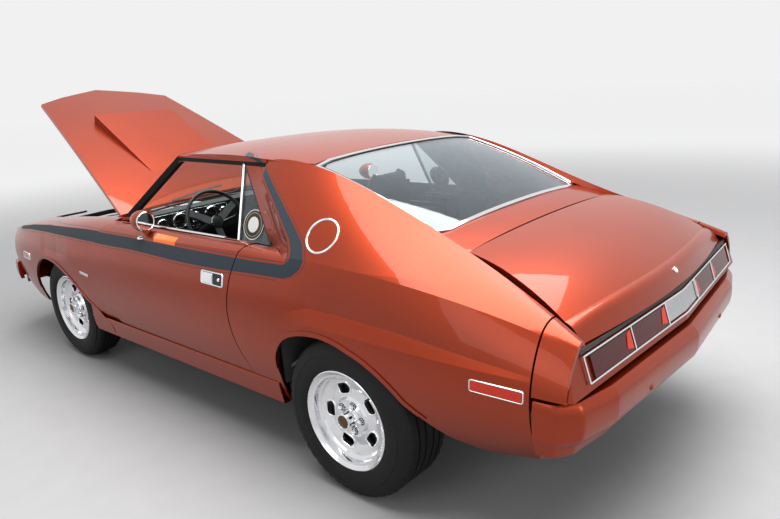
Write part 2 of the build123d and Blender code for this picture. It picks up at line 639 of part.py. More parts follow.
# Bulkhead with the cowl under the windscreen
with BuildPart() as firewall:
    block((-700, 700), (FIREWALL_Y, FIREWALL_Y + SHEET), (FLOOR_Z + FLOOR_THICK, 920))
    block((-720, 720), (FIREWALL_Y, -560), (892, 922))
    for x in (-600, 600):
        block((x - 14, x - 6), (HOOD_HINGE_Y - 4, HOOD_HINGE_Y + 9), (915, HOOD_HINGE_Z + 9))
        with Locations(Location((x, HOOD_HINGE_Y, HOOD_HINGE_Z), (0, 90, 0))):
            Cylinder(HINGE_PIN_RADIUS, 20)
    block((-TUNNEL_HALF_WIDTH, TUNNEL_HALF_WIDTH), (-700, -600), (0, TUNNEL_TOP_Z), mode=Mode.SUBTRACT)
    add(floor_pan.part, mode=Mode.SUBTRACT)
    add(windshield.part, mode=Mode.SUBTRACT)
    add(roof.part, mode=Mode.SUBTRACT)
    add(fender_left.part, mode=Mode.SUBTRACT)
    add(fender_right.part, mode=Mode.SUBTRACT)
firewall.part.label = "firewall"

# Front rails, aprons, towers and the radiator support
ledge = [(-650, 892), (-1790, 768), (-1790, 756), (-650, 880)]
with BuildPart() as structure_side:
    block((RAIL_OUT_X - 8, RAIL_OUT_X + 4), (-1780, FIREWALL_Y), (400, 900))
    extrude(outline_yz([(-2200, 300), (-600, 300), (-600, 894), (-2200, 722)]), amount=2000,
            mode=Mode.INTERSECT)
    block((RAIL_IN_X, RAIL_OUT_X), (-2120, FIREWALL_Y), (330, 430))
    block((RAIL_OUT_X, 610), (FRONT_AXLE_Y - 111.5, FRONT_AXLE_Y + 113.5), (700, 800))
    block((0, 600), (-1800, -1780), (330, 745))
with BuildPart() as ledge_plate:
    with BuildSketch(Plane.YZ.offset(RAIL_OUT_X)):
        with BuildLine():
            Polyline(*ledge, close=True)
        make_face()
    extrude(amount=215)
with BuildPart() as front_structure:
    add(structure_side.part)
    add(ledge_plate.part)
    mirror(about=Plane.YZ)
    add(fender_left.part, mode=Mode.SUBTRACT)
    add(fender_right.part, mode=Mode.SUBTRACT)
    add(firewall.part, mode=Mode.SUBTRACT)
    add(nose_panel.part, mode=Mode.SUBTRACT)
front_structure.part.label = "front_structure"
with BuildPart() as radiator:
    block((-330, 330), (-1780, -1722), (350, 742))
radiator.part.label = "radiator"

# Engine with gearbox, and the air cleaner on top
with BuildPart() as engine:
    block((-150, 150), (-1500, -870), (300, 560))
    for side in (-1, 1):
        with Locations(Location((side * 165, -1190, 610), (0, side * 45, 0))):
            Box(150, 580, 260)
    block((-130, 130), (-1450, -930), (560, 700))
    block((-110, 110), (-870, -300), (285, 445))
    block((-384, 384), (-1240, -1190), (400, 430))
    block((-60, 60), (-1560, -1500), (420, 640))
    with Locations((0, -1190, 735)):
        Cylinder(90, 80)
    with Locations((0, -1190, 790)):
        Cylinder(190, 66)
    add(front_structure.part, mode=Mode.SUBTRACT)
engine.part.label = "engine"

# Seats
seat_base_z = FLOOR_Z + FLOOR_THICK + 18
with BuildPart() as seat_left:
    with BuildSketch(Plane.YZ.offset(142)):
        with BuildLine():
            FilletPolyline((-104, seat_base_z), (-116, 470), (296, 442), (404, 1040), (430, 1124),
                           (520, 1110), (524, 900), (446, 400), (404, seat_base_z), radius=22, close=True)
        make_face()
    extrude(amount=436)
    ends = seat_left.faces().sort_by(Axis.X)
    fillet(ends[0].edges() + ends[-1].edges(), radius=20)
    block((160, 200), (-60, 380), (FLOOR_Z + FLOOR_THICK, seat_base_z + 4))
    block((520, 560), (-60, 380), (FLOOR_Z + FLOOR_THICK, seat_base_z + 4))
with BuildPart() as seats:
    add(seat_left.part)
    mirror(seat_left.part, about=Plane.YZ)
seats.part.label = "seats"

# Dashboard, steering column and console
tilt = math.radians(COLUMN_TILT_DEG)
column_axis = Vector(0, math.cos(tilt), math.sin(tilt))
column_foot = HUB - column_axis * 458
with BuildPart() as steering_wheel:
    with BuildSketch(Plane(HUB, x_dir=(1, 0, 0), z_dir=column_axis)):
        Circle(34)
        for turn in (-15, 90, 195):
            with PolarLocations(WHEEL_RIM_RADIUS / 2, 1, start_angle=turn):
                Rectangle(WHEEL_RIM_RADIUS, 22)
    extrude(amount=-8)
    with Locations(Plane(HUB, x_dir=(1, 0, 0), z_dir=column_axis).location):
        Torus(WHEEL_RIM_RADIUS, 13)
    with BuildSketch(Plane(column_foot, x_dir=(1, 0, 0), z_dir=column_axis)):
        Circle(27)
    extrude(amount=455)
    add(firewall.part, mode=Mode.SUBTRACT)
steering_wheel.part.label = "steering_wheel"
with BuildPart() as dashboard:
    with BuildSketch(Plane.YZ.offset(-680)):
        with BuildLine():
            Polyline((-560, 892), (-530, 950), (-420, 972), (-392, 955), (-420, 800), (-470, 740),
                     (-638, 740), (-638, 892), close=True)
        make_face()
    extrude(amount=1360)
    add(firewall.part, mode=Mode.SUBTRACT)
    add(windshield.part, mode=Mode.SUBTRACT)
    add(roof.part, mode=Mode.SUBTRACT)
    with BuildSketch(Plane(column_foot, x_dir=(1, 0, 0), z_dir=column_axis)):
        Circle(27 + SEAT_GAP)
    extrude(amount=455, mode=Mode.SUBTRACT)
dashboard.part.label = "dashboard"
with BuildPart() as console:
    block((-95, 95), (-420, 420), (TUNNEL_TOP_Z + SHEET, 560))
    with Locations((0, -180, 620)):
        Cylinder(10, 140)
    with Locations((0, -180, 700)):
        Sphere(24)
console.part.label = "console"

# Rear axle on its leaf springs, propeller shaft, tank and exhaust
spring_z = REAR_TYRE_RADIUS - 54
with BuildPart() as rear_axle:
    with Locations(Location((0, REAR_AXLE_Y, REAR_TYRE_RADIUS), (0, 90, 0))):
        Cylinder(42, 2 * (REAR_DISC_X - 90))
        Cylinder(AXLE_STUB_RADIUS, 2 * (REAR_DISC_X + 15))
        Cylinder(118, 150)
    for side in (-1, 1):
        with Locations(Location((side * (REAR_DISC_X - 60), REAR_AXLE_Y, REAR_TYRE_RADIUS), (0, 90, 0))):
            Cylinder(130, 70)
        with BuildSketch(Plane.YZ.offset(side * 550 - 30)):
            with BuildLine():
                ThreePointArc((720, 330), (REAR_AXLE_Y, spring_z), (1850, 380))
                Line((1850, 380), (1850, 402))
                ThreePointArc((1850, 402), (REAR_AXLE_Y, spring_z + 22), (720, 352))
                Line((720, 352), (720, 330))
            make_face()
        extrude(amount=60)
        block((side * 550 - 30, side * 550 + 30), (1820, 1860), (380, 410))
        block((side * 550 - 30, side * 550 + 30), (720, 760), (340, 420))
    with Locations(Location((0, 450, REAR_TYRE_RADIUS + 10), (90, 0, 0))):
        Cylinder(36, 1499)
    add(floor_pan.part, mode=Mode.SUBTRACT)
rear_axle.part.label = "rear_axle"
with BuildPart() as fuel_tank:
    block((-360, 360), (1560, 2000), (318, BOOT_FLOOR_Z - SEAT_GAP))
fuel_tank.part.label = "fuel_tank"
exhaust_pipe = tube([(150, -1000, 420), (215, -1000, 300), (215, -860, 236), (300, -500, 236),
                     (300, 1020, 236)], 26, 25)
with BuildPart() as exhaust:
    add(exhaust_pipe)
    block((220, 380), (500, 860), (190, 250))
    block((288, 312), (100, 130), (240, FLOOR_Z))
    mirror(about=Plane.YZ)
    add(engine.part, mode=Mode.SUBTRACT)
exhaust.part.label = "exhaust"

# Front cross member with the lower and upper arms
low_arm_z = FRONT_TYRE_RADIUS - 126
high_arm_z = FRONT_TYRE_RADIUS + 132
wide = (FRONT_AXLE_Y - 38, FRONT_AXLE_Y + 38)
narrow = (FRONT_AXLE_Y - 16.5, FRONT_AXLE_Y + 16.5)
with BuildPart() as arm_side:
    block((0, RAIL_IN_X + 50), (FRONT_AXLE_Y - 66, FRONT_AXLE_Y + 64), (FRONT_TYRE_RADIUS - 92, 332))
    block((RAIL_OUT_X - 40, KINGPIN_X - 27), wide, (low_arm_z, low_arm_z + ARM_THICK))
    block((KINGPIN_X - 27, KINGPIN_X + 16), narrow, (low_arm_z, low_arm_z + ARM_THICK))
    block((KINGPIN_X - 82, KINGPIN_X + 16), narrow, (high_arm_z, high_arm_z + ARM_THICK))
    block((RAIL_OUT_X - 40, 470), wide, (low_arm_z + ARM_THICK, 240))
    block((RAIL_OUT_X, KINGPIN_X - 32), (FRONT_AXLE_Y - 26, FRONT_AXLE_Y + 26),
          (high_arm_z, high_arm_z + ARM_THICK))
with BuildPart() as front_suspension:
    add(arm_side.part)
    mirror(arm_side.part, about=Plane.YZ)
    add(front_structure.part, mode=Mode.SUBTRACT)
    add(engine.part, mode=Mode.SUBTRACT)
front_suspension.part.label = "front_suspension"

# Steered knuckles with brake backing
with BuildPart() as knuckle_left:
    pin_low = low_arm_z + ARM_THICK + SEAT_GAP
    with Locations((KINGPIN_X, FRONT_AXLE_Y, (pin_low + high_arm_z - SEAT_GAP) / 2)):
        Cylinder(16, high_arm_z - SEAT_GAP - pin_low)
    spindle_end = FRONT_DISC_X + 20
    with Locations(Location(((665 + spindle_end) / 2, FRONT_AXLE_Y, FRONT_TYRE_RADIUS), (0, 90, 0))):
        Cylinder(SPINDLE_RADIUS, spindle_end - 665)
    with Locations(Location((732, FRONT_AXLE_Y, FRONT_TYRE_RADIUS), (0, 90, 0))):
        Cylinder(122, 20)
knuckle_left.part.label = "knuckle_left"
with BuildPart() as knuckle_right:
    mirror(knuckle_left.part, about=Plane.YZ)
knuckle_right.part.label = "knuckle_right"

# Door mirrors
mirror_foot = bar((834, -122, 926), (848, -150, 960), 20, 34)
with BuildPart() as mirror_left:
    with BuildSketch(Plane(origin=(848, -170, 992), x_dir=(1, 0, 0), z_dir=(0, 0, 1))):
        with BuildLine():
            Line((0, 60), (50, 60))
            ThreePointArc((50, 60), (42, -20), (0, -66))
            Line((0, -66), (0, 60))
        make_face()
    revolve(axis=Axis((848, -170, 992), (0, 1, 0)))
    add(mirror_foot)
    add(door_left.part, mode=Mode.SUBTRACT)
mirror_left.part.label = "mirror_left"
with BuildPart() as mirror_right:
    mirror(mirror_left.part, about=Plane.YZ)
mirror_right.part.label = "mirror_right"

# Wheels and tyres, drawn about the X axis and set in place
wheel_pieces = []
for spec in WHEELS:
    centre = (0, spec.y, spec.tyre_radius)
    with BuildPart() as wheel:
        with BuildSketch(Plane(origin=centre, x_dir=(1, 0, 0), z_dir=(0, 0, 1))):
            with BuildLine():
                Polyline((spec.rim_in, BEAD_RADIUS - RIM_WALL), (spec.rim_in, RIM_RADIUS),
                         (spec.rim_in + 8, RIM_RADIUS), (spec.rim_in + 12, BEAD_RADIUS),
                         (spec.rim_in + 30, BEAD_RADIUS), (spec.rim_in + 38, DROP_RADIUS),
                         (spec.rim_out - 52, DROP_RADIUS), (spec.rim_out - 42, BEAD_RADIUS),
                         (spec.rim_out - 12, BEAD_RADIUS), (spec.rim_out - 9, RIM_RADIUS - 3),
                         (spec.rim_out - 6, RIM_RADIUS), (spec.rim_out - 2, RIM_RADIUS - 1),
                         (spec.rim_out, RIM_RADIUS - 5), (spec.rim_out - 4, RIM_RADIUS - 10),
                         (spec.rim_out - 11, BEAD_RADIUS - 3), (spec.rim_out - 13, BEAD_RADIUS - RIM_WALL),
                         (spec.rim_out - 34, BEAD_RADIUS - RIM_WALL - 3),
                         (spec.rim_out - 38, DROP_RADIUS - 4), (spec.rim_out - 44, DROP_RADIUS - RIM_WALL),
                         (spec.disc_x + 10, 152), (spec.disc_x + 2, 122),
                         (spec.disc_x + 8, 84), (spec.disc_x + 18, 74),
                         (spec.disc_x + 18, 46), (spec.disc_x + 22, 42), (spec.disc_x + 22, spec.bore),
                         (spec.disc_x - 10, spec.bore), (spec.disc_x - 10, 110), (spec.disc_x - 6, 150),
                         (spec.disc_x - 14, DROP_RADIUS - RIM_WALL),
                         (spec.rim_in + 32, DROP_RADIUS - RIM_WALL),
                         (spec.rim_in + 24, BEAD_RADIUS - RIM_WALL), close=True)
            make_face()
        revolve(axis=Axis(centre, (1, 0, 0)))
        hub_face = Plane(origin=centre, x_dir=(0, 1, 0), z_dir=(1, 0, 0))
        with BuildSketch(hub_face.offset(spec.disc_x - 40)):
            with PolarLocations(SLOT_RING_RADIUS, 5, start_angle=180):
                RectangleRounded(46, 64, 19)
        extrude(amount=80, mode=Mode.SUBTRACT)
        with Locations(hub_face.location):
            with Locations((0, 0, spec.disc_x)):
                Cylinder(spec.bore + BEARING_GAP, 100, mode=Mode.SUBTRACT)
    with BuildPart() as tyre:
        with BuildSketch(Plane(origin=centre, x_dir=(1, 0, 0), z_dir=(0, 0, 1))):
            with BuildLine():
                for x, way in ((spec.tyre_in, 1), (spec.tyre_out, -1)):
                    foot = (spec.rim_in if way > 0 else spec.rim_out) - way * 2
                    shoulder = (x + way * 11, spec.tyre_radius - 26)
                    ThreePointArc((foot, RIM_RADIUS + 4), (x, RIM_RADIUS + 46), shoulder)
                    ThreePointArc(shoulder, (x + way * 17, spec.tyre_radius - 9),
                                  (x + way * 32, spec.tyre_radius))
                    Line((foot, RIM_RADIUS + 4), (foot + way * 16, RIM_RADIUS - 14))
                Line((spec.tyre_in + 32, spec.tyre_radius), (spec.tyre_out - 32, spec.tyre_radius))
                Line((spec.rim_in + 14, RIM_RADIUS - 14), (spec.rim_out - 14, RIM_RADIUS - 14))
            make_face()
        revolve(axis=Axis(centre, (1, 0, 0)))
        add(wheel.part, mode=Mode.SUBTRACT)
    for piece, kind in ((wheel, "wheel"), (tyre, "tyre")):
        placed = piece.part if spec.side > 0 else mirror(piece.part, about=Plane.YZ)
        placed.label = f"{kind}_{spec.name}"
        wheel_pieces.append(placed)

solids = [floor_pan, firewall, front_structure, radiator, engine, front_suspension, fender_left, fender_right,
          nose_panel, grille, headlamps, front_bumper, quarter_left, quarter_right, roof, windshield,
          rear_window, quarter_glass, deck_panel, tail_panel, tail_lamps, rear_bumper, dashboard,
          steering_wheel, seats, console, rear_axle, fuel_tank, exhaust, hood, trunk_lid, door_left,
          door_right, mirror_left, mirror_right, knuckle_left, knuckle_right]
for piece in [item.part for item in solids] + wheel_pieces:
    export_step(piece, f"parts/{piece.label}.step")
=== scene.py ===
# %% [markdown]
# # Fastback drag coupe
# The car stands on its wheels with the bonnet up. Its panels, glass, wheels and running gear come from the CAD model
# at real size, in metres: +X is the car's left, +Y its tail, +Z up. This file gives them their finishes, and adds
# what a body shop would fit last: bright trims, lamps, dials, padding and tread.

# %% Load the car
import math

import bmesh
import bpy
from mathutils import Matrix, Vector
from mathutils.bvhtree import BVHTree


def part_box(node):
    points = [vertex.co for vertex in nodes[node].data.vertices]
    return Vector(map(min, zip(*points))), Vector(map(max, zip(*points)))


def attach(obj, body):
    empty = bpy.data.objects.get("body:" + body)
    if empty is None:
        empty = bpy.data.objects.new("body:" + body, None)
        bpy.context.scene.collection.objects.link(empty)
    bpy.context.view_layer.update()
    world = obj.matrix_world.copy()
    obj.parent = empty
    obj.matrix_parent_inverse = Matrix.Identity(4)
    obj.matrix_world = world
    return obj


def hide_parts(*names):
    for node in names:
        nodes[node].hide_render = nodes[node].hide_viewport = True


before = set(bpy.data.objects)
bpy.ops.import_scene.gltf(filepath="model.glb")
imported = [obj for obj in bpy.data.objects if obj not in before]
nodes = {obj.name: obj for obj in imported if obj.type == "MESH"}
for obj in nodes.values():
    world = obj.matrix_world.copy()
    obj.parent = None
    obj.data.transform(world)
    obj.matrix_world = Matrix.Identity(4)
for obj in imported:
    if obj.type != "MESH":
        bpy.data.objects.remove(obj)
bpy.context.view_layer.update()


def link(name, data):
    """Object with this data, placed in the scene."""
    obj = bpy.data.objects.new(name, data)
    bpy.context.scene.collection.objects.link(obj)
    return obj


# %% [markdown]
# ## Camera
# The picture is taken from the left rear, a little above the roof, with a fairly wide lens. The angles were solved
# from the wheels, the window corners and the tail. A camera looks along its own -Z, so its axes are written down as
# right, up and backwards.

# %% Camera
YAW, PITCH, ROLL = -2.41963, -0.271418, -0.063914
STAND = (2.50458, 2.94893, 1.62342)
SENSOR, FOCAL, PICTURE_WIDTH = 36, 665.65, 780
ahead = Vector((math.cos(YAW) * math.cos(PITCH), math.sin(YAW) * math.cos(PITCH), math.sin(PITCH)))
level = ahead.cross(Vector((0, 0, 1))).normalized()
upright = level.cross(ahead)
right = math.cos(ROLL) * level + math.sin(ROLL) * upright
above = math.cos(ROLL) * upright - math.sin(ROLL) * level
camera = link("camera", bpy.data.cameras.new("camera"))
camera.matrix_world = Matrix.Translation(STAND) @ Matrix((right, above, -ahead)).transposed().to_4x4()
camera.data.sensor_width = SENSOR
camera.data.lens = SENSOR * FOCAL / PICTURE_WIDTH
camera.data.clip_end = 200
bpy.context.scene.camera = camera
print("lens", round(camera.data.lens, 2), "mm")

# %% [markdown]
# ## Shader formulas
# Paint, rubber and chrome differ in a few numbers that change over the surface. Writing those as node graphs by hand
# hides the idea, so one small class lets a shader socket be used in a formula, and a second one builds a material
# and adds any node to it.


# %% Sockets as numbers
class Signal:
    """One output of a shader node, used like a number in a formula."""

    def __init__(self, finish, socket):
        self.finish = finish
        self.socket = socket

    def maths(self, operation, *values):
        return self.finish.node("ShaderNodeMath", {"operation": operation}, dict(enumerate(values)))

    def __abs__(self):
        return self.maths("ABSOLUTE", self)

    def least(self, other):
        return self.maths("MINIMUM", self, other)

    def most(self, other):
        return self.maths("MAXIMUM", self, other)

    def step(self, low, high):
        """Rises smoothly from 0 at low to 1 at high."""
        return self.finish.node("ShaderNodeMapRange", {"interpolation_type": "SMOOTHSTEP"},
                                {"Value": self, "From Min": low, "From Max": high})


for word, operation in (("add", "ADD"), ("sub", "SUBTRACT"), ("mul", "MULTIPLY"), ("truediv", "DIVIDE"),
                        ("pow", "POWER"), ("gt", "GREATER_THAN"), ("lt", "LESS_THAN")):
    setattr(Signal, f"__{word}__", lambda self, other, name=operation: self.maths(name, self, other))
    if word in ("add", "sub", "mul"):
        setattr(Signal, f"__r{word}__", lambda self, other, name=operation: self.maths(name, other, self))


# %% Materials
class Finish:
    """A material with one Principled shader, and a way to add nodes to it."""

    def __init__(self, name, colour, rough, metal=0.0, **constants):
        self.material = bpy.data.materials.new(name)
        self.material.use_nodes = True
        self.tree = self.material.node_tree
        self.shader = self.tree.nodes["Principled BSDF"]
        self.shader.inputs["Base Color"].default_value = (*colour, 1)
        self.shader.inputs["Roughness"].default_value = rough
        self.shader.inputs["Metallic"].default_value = metal
        for key, value in constants.items():
            self.shader.inputs[key.replace("_", " ").title().replace("Ior", "IOR")].default_value = value

    def node(self, kind, settings=None, sockets=None, out=0):
        node = self.tree.nodes.new(kind)
        for key, value in (settings or {}).items():
            if key == "stops":
                elements = node.color_ramp.elements
                elements[0].position, elements[-1].position = value[0][0], value[-1][0]
                for place, _ in value[1:-1]:
                    elements.new(place)
                for element, (_, grey) in zip(elements, value):
                    element.color = (grey, grey, grey, 1)
            else:
                setattr(node, key, value)
        for key, value in (sockets or {}).items():
            if isinstance(value, Signal):
                self.tree.links.new(value.socket, node.inputs[key])
            else:
                node.inputs[key].default_value = value
        return Signal(self, node.outputs[out])

    def feed(self, name, signal):
        self.tree.links.new(signal.socket, self.shader.inputs[name])

    def axes(self, kind="Object"):
        """The place on the car at rest in metres, or the way its surface faces, whole and as three numbers."""
        whole = self.node("ShaderNodeTexCoord", out=kind)
        return whole, [self.node("ShaderNodeSeparateXYZ", {}, {0: whole}, out=i) for i in range(3)]

    def noise(self, scale, detail=2.0):
        point = self.node("ShaderNodeTexCoord", out="Object")
        return self.node("ShaderNodeTexNoise", {}, {"Vector": point, "Scale": scale, "Detail": detail}, out=0)

    def mix(self, amount, low, high):
        """The colour low where amount is 0 and high where it is 1."""
        low, high = [(*c, 1) if isinstance(c, tuple) else c for c in (low, high)]
        return self.node("ShaderNodeMix", {"data_type": "RGBA"}, {0: amount, 6: low, 7: high}, out=2)

    def bump(self, height, strength=0.3, distance=0.001, over=None):
        sockets = {"Strength": strength, "Distance": distance, "Height": height}
        if over is not None:
            sockets["Normal"] = over
        normal = self.node("ShaderNodeBump", {}, sockets)
        self.feed("Normal", normal)
        return normal

# %% [markdown]
# ## Paint and stripe
# The body is a burnt copper metallic under clear lacquer: fine aluminium flakes in an orange base, with a slight
# orange-peel in the lacquer. A matte slate stripe runs along the shoulder from the nose, turns up behind the quarter
# window and ends in a point above it. A thin dark line follows both its edges. The stripe is drawn as distances in
# side view: above its lower edge, below its upper edge, behind the inner edge of the rising leg and in front of its
# outer edge. A distance gives the edge, the gap and the thin line from the same formula.

# %% Stripe edges, read off the side of the body
STRIPE_LOW = ((-1.83, .770), (-1.629, .795), (-1.326, .813), (-.973, .823), (-.57, .827), (-.262, .836), (.205, .833),
              (.484, .840), (.708, .853), (.912, .861), (1.05, .866))
STRIPE_TOP = ((-1.83, .792), (-1.573, .830), (-1.284, .859), (-.808, .885), (-.274, .895), (.277, .899), (.719, .906),
              (.927, .914), (1.05, .914))
LEG_OUTER = ((.855, .880), (.861, .935), (.876, .986), (.909, 1.028), (.942, 1.040), (.997, 1.004), (1.050, .928),
             (1.133, .799), (1.223, .654), (1.291, .544), (1.306, .448), (1.312, .360))
LEG_INNER = ((.905, .915), (.914, .927), (.936, .957), (.950, .960), (.976, .948), (1.008, .919), (1.059, .849),
             (1.130, .749), (1.221, .613), (1.285, .509), (1.312, .372))


def edge(finish, along, points):
    """A line of (place, value) points as a function of one coordinate."""
    first, last = points[0][0], points[-1][0]
    lowest, highest = min(v for _, v in points), max(v for _, v in points)
    share = (along - first) / (last - first)
    stops = [((p - first) / (last - first), (v - lowest) / (highest - lowest)) for p, v in points]
    ramp = finish.node("ShaderNodeValToRGB", {"stops": stops}, {0: share})
    return ramp * (highest - lowest) + lowest


# %% Haunch over the wheels, as places along the side and heights
HAUNCH_LINE = ((.93, .655), (.989, .677), (1.09, .700), (2.06, .702))
HAUNCH_RISE = ((.93, .060), (1.07, .070), (1.24, .072), (1.52, .062), (1.80, .038), (2.06, .012))
HAUNCH_DEPTH = ((.93, .0), (1.07, .020), (1.24, .027), (1.52, .024), (1.80, .013), (2.06, .0))
FRONT_DEPTH = ((-1.42, .0), (-1.34, .010), (-1.16, .012), (-1.00, .0))


def haunch(finish, y, z):
    """Depth of the pressed ledge over each arch: in quickly above its crease, back out slowly to the shoulder."""
    above = z - edge(finish, y, HAUNCH_LINE)
    rise = edge(finish, y, HAUNCH_RISE)
    share = (above / rise).most(0).least((.235 - above) / (.235 - rise)).most(0)
    front = ((z - .662) / .050).most(0).least((.84 - z) / .128).most(0)
    return 0 - share * edge(finish, y, HAUNCH_DEPTH) - front * edge(finish, y, FRONT_DEPTH)


# %% Copper lacquer
PAINT_COLOURS = ((.25, .022, .004), (.43, .052, .010))
PAINT_METAL = .82


def body_paint(name, striped):
    """Copper metallic lacquer, with or without the shoulder stripe."""
    paint = Finish(name, PAINT_COLOURS[0], .34, PAINT_METAL, coat_weight=.5, coat_roughness=.03, specular_ior_level=.1)
    point, (x, y, z) = paint.axes()
    peel = paint.bump(paint.noise(420, 1), .06, .0006)
    flake = paint.node("ShaderNodeTexVoronoi", {}, {"Vector": point, "Scale": 1600}, out="Color")
    flake = paint.node("ShaderNodeSeparateColor", {}, {0: flake})
    cloud = paint.noise(3.0, 3)
    base = paint.mix(flake * .5 + cloud * .3, *PAINT_COLOURS)
    rough = flake * .12 + .28
    if striped:
        low = z - edge(paint, y, STRIPE_LOW)
        top = edge(paint, y, STRIPE_TOP) - z
        outer = (edge(paint, z, LEG_OUTER) - y) * .8
        inner = (y - edge(paint, z, LEG_INNER)) * .8
        band = low.least(top).least(outer).least(y + 1.83)
        leg = inner.least(outer).least(z - .905)
        away = (abs(x) - .79).most((z - .93) * .8)
        inside = band.most(leg).least(away)
        stripe = inside.step(-.0006, .0006)
        line = inside.step(-.0125, -.0115) * (1 - inside.step(-.0095, -.0085))
        grain = paint.noise(220, 3)
        base = paint.mix(stripe, base, paint.mix(grain, (.028, .037, .048), (.044, .056, .070)))
        base = paint.mix(line, base, (.03, .02, .02))
        _, (across, _, upward) = paint.axes("Normal")
        outward = across * ((x > 0) * 2 - 1)
        rail = ((y < .6) * (z > 1.2575) * (z < 1.277)).most((y < -.14) * (z > .955)) * (upward < .3)
        lining = ((outward < -.35) * (y < .84)).most((upward < -.3) * (z > 1.2)).most(rail)
        base = paint.mix(lining, base, (.010, .010, .011))
        cover = (1 - stripe.most(line)) * (1 - lining)
        rough = (rough * cover + stripe * .46 + line * .3) * (1 - lining) + lining * .5
        metal = cover * PAINT_METAL
        coat = (.5 - stripe * .45) * (1 - lining)
        paint.feed("Metallic", metal)
        paint.feed("Coat Weight", coat)
        paint.bump(haunch(paint, y, z), 1, 1, peel)
    paint.feed("Base Color", base)
    paint.feed("Roughness", rough)
    return paint.material


PAINT = body_paint("copper_paint", False)
STRIPED_PAINT = body_paint("copper_paint_with_stripe", True)

# %% [markdown]
# ## Metals, rubber, glass and trim
# Polished alloy and chrome are bright metals whose roughness wanders a little, because polish is never even. Cast
# iron and satin black steel get a fine grain. Tyre rubber is matt. Window glass is clear with a faint
# grey-green tint, and reflects more at a shallow angle.


# %% Metals
def metal(name, dark, light, rough, grain=40, spread=.08, coat=0.0, height=.02, full=1.0):
    """Metal whose colour and roughness wander between two values."""
    finish = Finish(name, light, rough, full, coat_weight=coat)
    wander = finish.noise(grain, 4)
    fine = finish.noise(grain * 12, 2)
    finish.feed("Base Color", finish.mix(wander, dark, light))
    finish.feed("Roughness", fine * spread + wander * spread + (rough - spread))
    finish.bump(fine, .15, height * .01)
    return finish.material


CHROME = metal("bright_chrome", (.80, .81, .83), (.92, .93, .94), .05, 12, .03, height=.002)
ALLOY = metal("polished_alloy_metal", (.70, .71, .73), (.88, .88, .90), .12, 20, .05, height=.004)
STEEL = metal("satin_black_steel", (.018, .018, .019), (.04, .04, .042), .42, 30, .1, full=.2)
IRON = metal("engine_enamel", (.035, .06, .11), (.05, .085, .15), .4, 60, .12, coat=.3, full=.1)
BARE = metal("bare_aluminium", (.45, .46, .47), (.62, .63, .64), .38, 50, .1)
PIPE = metal("exhaust_pipe_steel", (.25, .20, .16), (.48, .46, .43), .36, 14, .12)
BRONZE = metal("dark_bronze_metal", (.10, .055, .03), (.17, .10, .06), .3, 40, .06)


# %% Rubber, plastic and cloth
def soft(name, dark, light, rough, grain, height=.3, spread=.08, **constants):
    """A surface of one colour with a fine grain in colour, gloss and height."""
    finish = Finish(name, light, rough, 0, **constants)
    fine = finish.noise(grain, 4)
    wide = finish.noise(grain / 20, 2)
    finish.feed("Base Color", finish.mix(fine * .6 + wide * .4, dark, light))
    finish.feed("Roughness", wide * spread + rough - spread / 2)
    finish.bump(fine, .5, height * .001)
    return finish.material


RUBBER = soft("tyre_rubber_compound", (.004, .004, .0045), (.011, .011, .011), .66, 500, .2, specular_ior_level=.25)
SEAL = soft("black_rubber_seal", (.008, .008, .008), (.018, .018, .018), .55, 300, .1)
PLASTIC = soft("grained_black_plastic", (.010, .010, .011), (.024, .024, .026), .5, 900, .25)
VINYL = soft("black_seat_vinyl", (.012, .012, .013), (.028, .028, .030), .42, 700, .3, sheen_weight=.05)
CARPET = soft("black_carpet", (.006, .006, .007), (.022, .022, .024), .95, 1400, 1.2, sheen_weight=.3)
WHITE = soft("white_enamel", (.70, .70, .68), (.84, .84, .82), .4, 200, .02)
ORANGE = soft("orange_film", (.78, .14, .010), (.88, .18, .016), .35, 200, .02)
GOLD = soft("dull_gold_print", (.30, .22, .07), (.42, .31, .11), .4, 200, .02)
LENS_RED = soft("ruby_lens", (.60, .022, .006), (.76, .036, .010), .12, 60, .02, coat_weight=.2,
                specular_ior_level=.3)
LENS_AMBER = soft("amber_lens", (.42, .10, .008), (.55, .16, .014), .12, 60, .02, coat_weight=1.0)
LENS_DARK = soft("dark_red_lens", (.050, .003, .004), (.10, .006, .006), .14, 60, .02, coat_weight=.2,
                 specular_ior_level=.3)


# %% Glass
def glass(name, tint, mirror_tint, rough):
    """Clear pane: mostly see-through, with a reflection that grows at a shallow angle."""
    finish = Finish(name, mirror_tint, rough, 1)
    dust = finish.noise(6, 4)
    finish.feed("Roughness", dust * .03 + rough)
    clear = finish.node("ShaderNodeBsdfTransparent", {}, {"Color": (*tint, 1)})
    glance = finish.node("ShaderNodeLayerWeight", {}, {"Blend": .5}, out="Facing")
    pane = finish.node("ShaderNodeMixShader", {}, {
        0: (glance ** 5 * 1.3 + dust * .02 + .05).least(1), 1: clear, 2: Signal(finish, finish.shader.outputs[0])})
    finish.tree.links.new(pane.socket, finish.tree.nodes["Material Output"].inputs[0])
    return finish.material


GLASS = glass("tinted_window_glass", (.92, .955, .95), (.80, .88, .96), .0)
LAMP_GLASS = glass("clear_lamp_glass", (.93, .94, .95), (.85, .86, .88), .02)

# %% [markdown]
# ## Finishes on the CAD nodes
# Every panel of the shell gets paint, and the ones that the stripe crosses get the striped version, so the stripe
# runs over the door gaps without a break. The floor and the bulkhead have two sides: carpet or sound deadening
# inside, and paint or undercoat outside. One material covers both and switches by which way the surface faces.


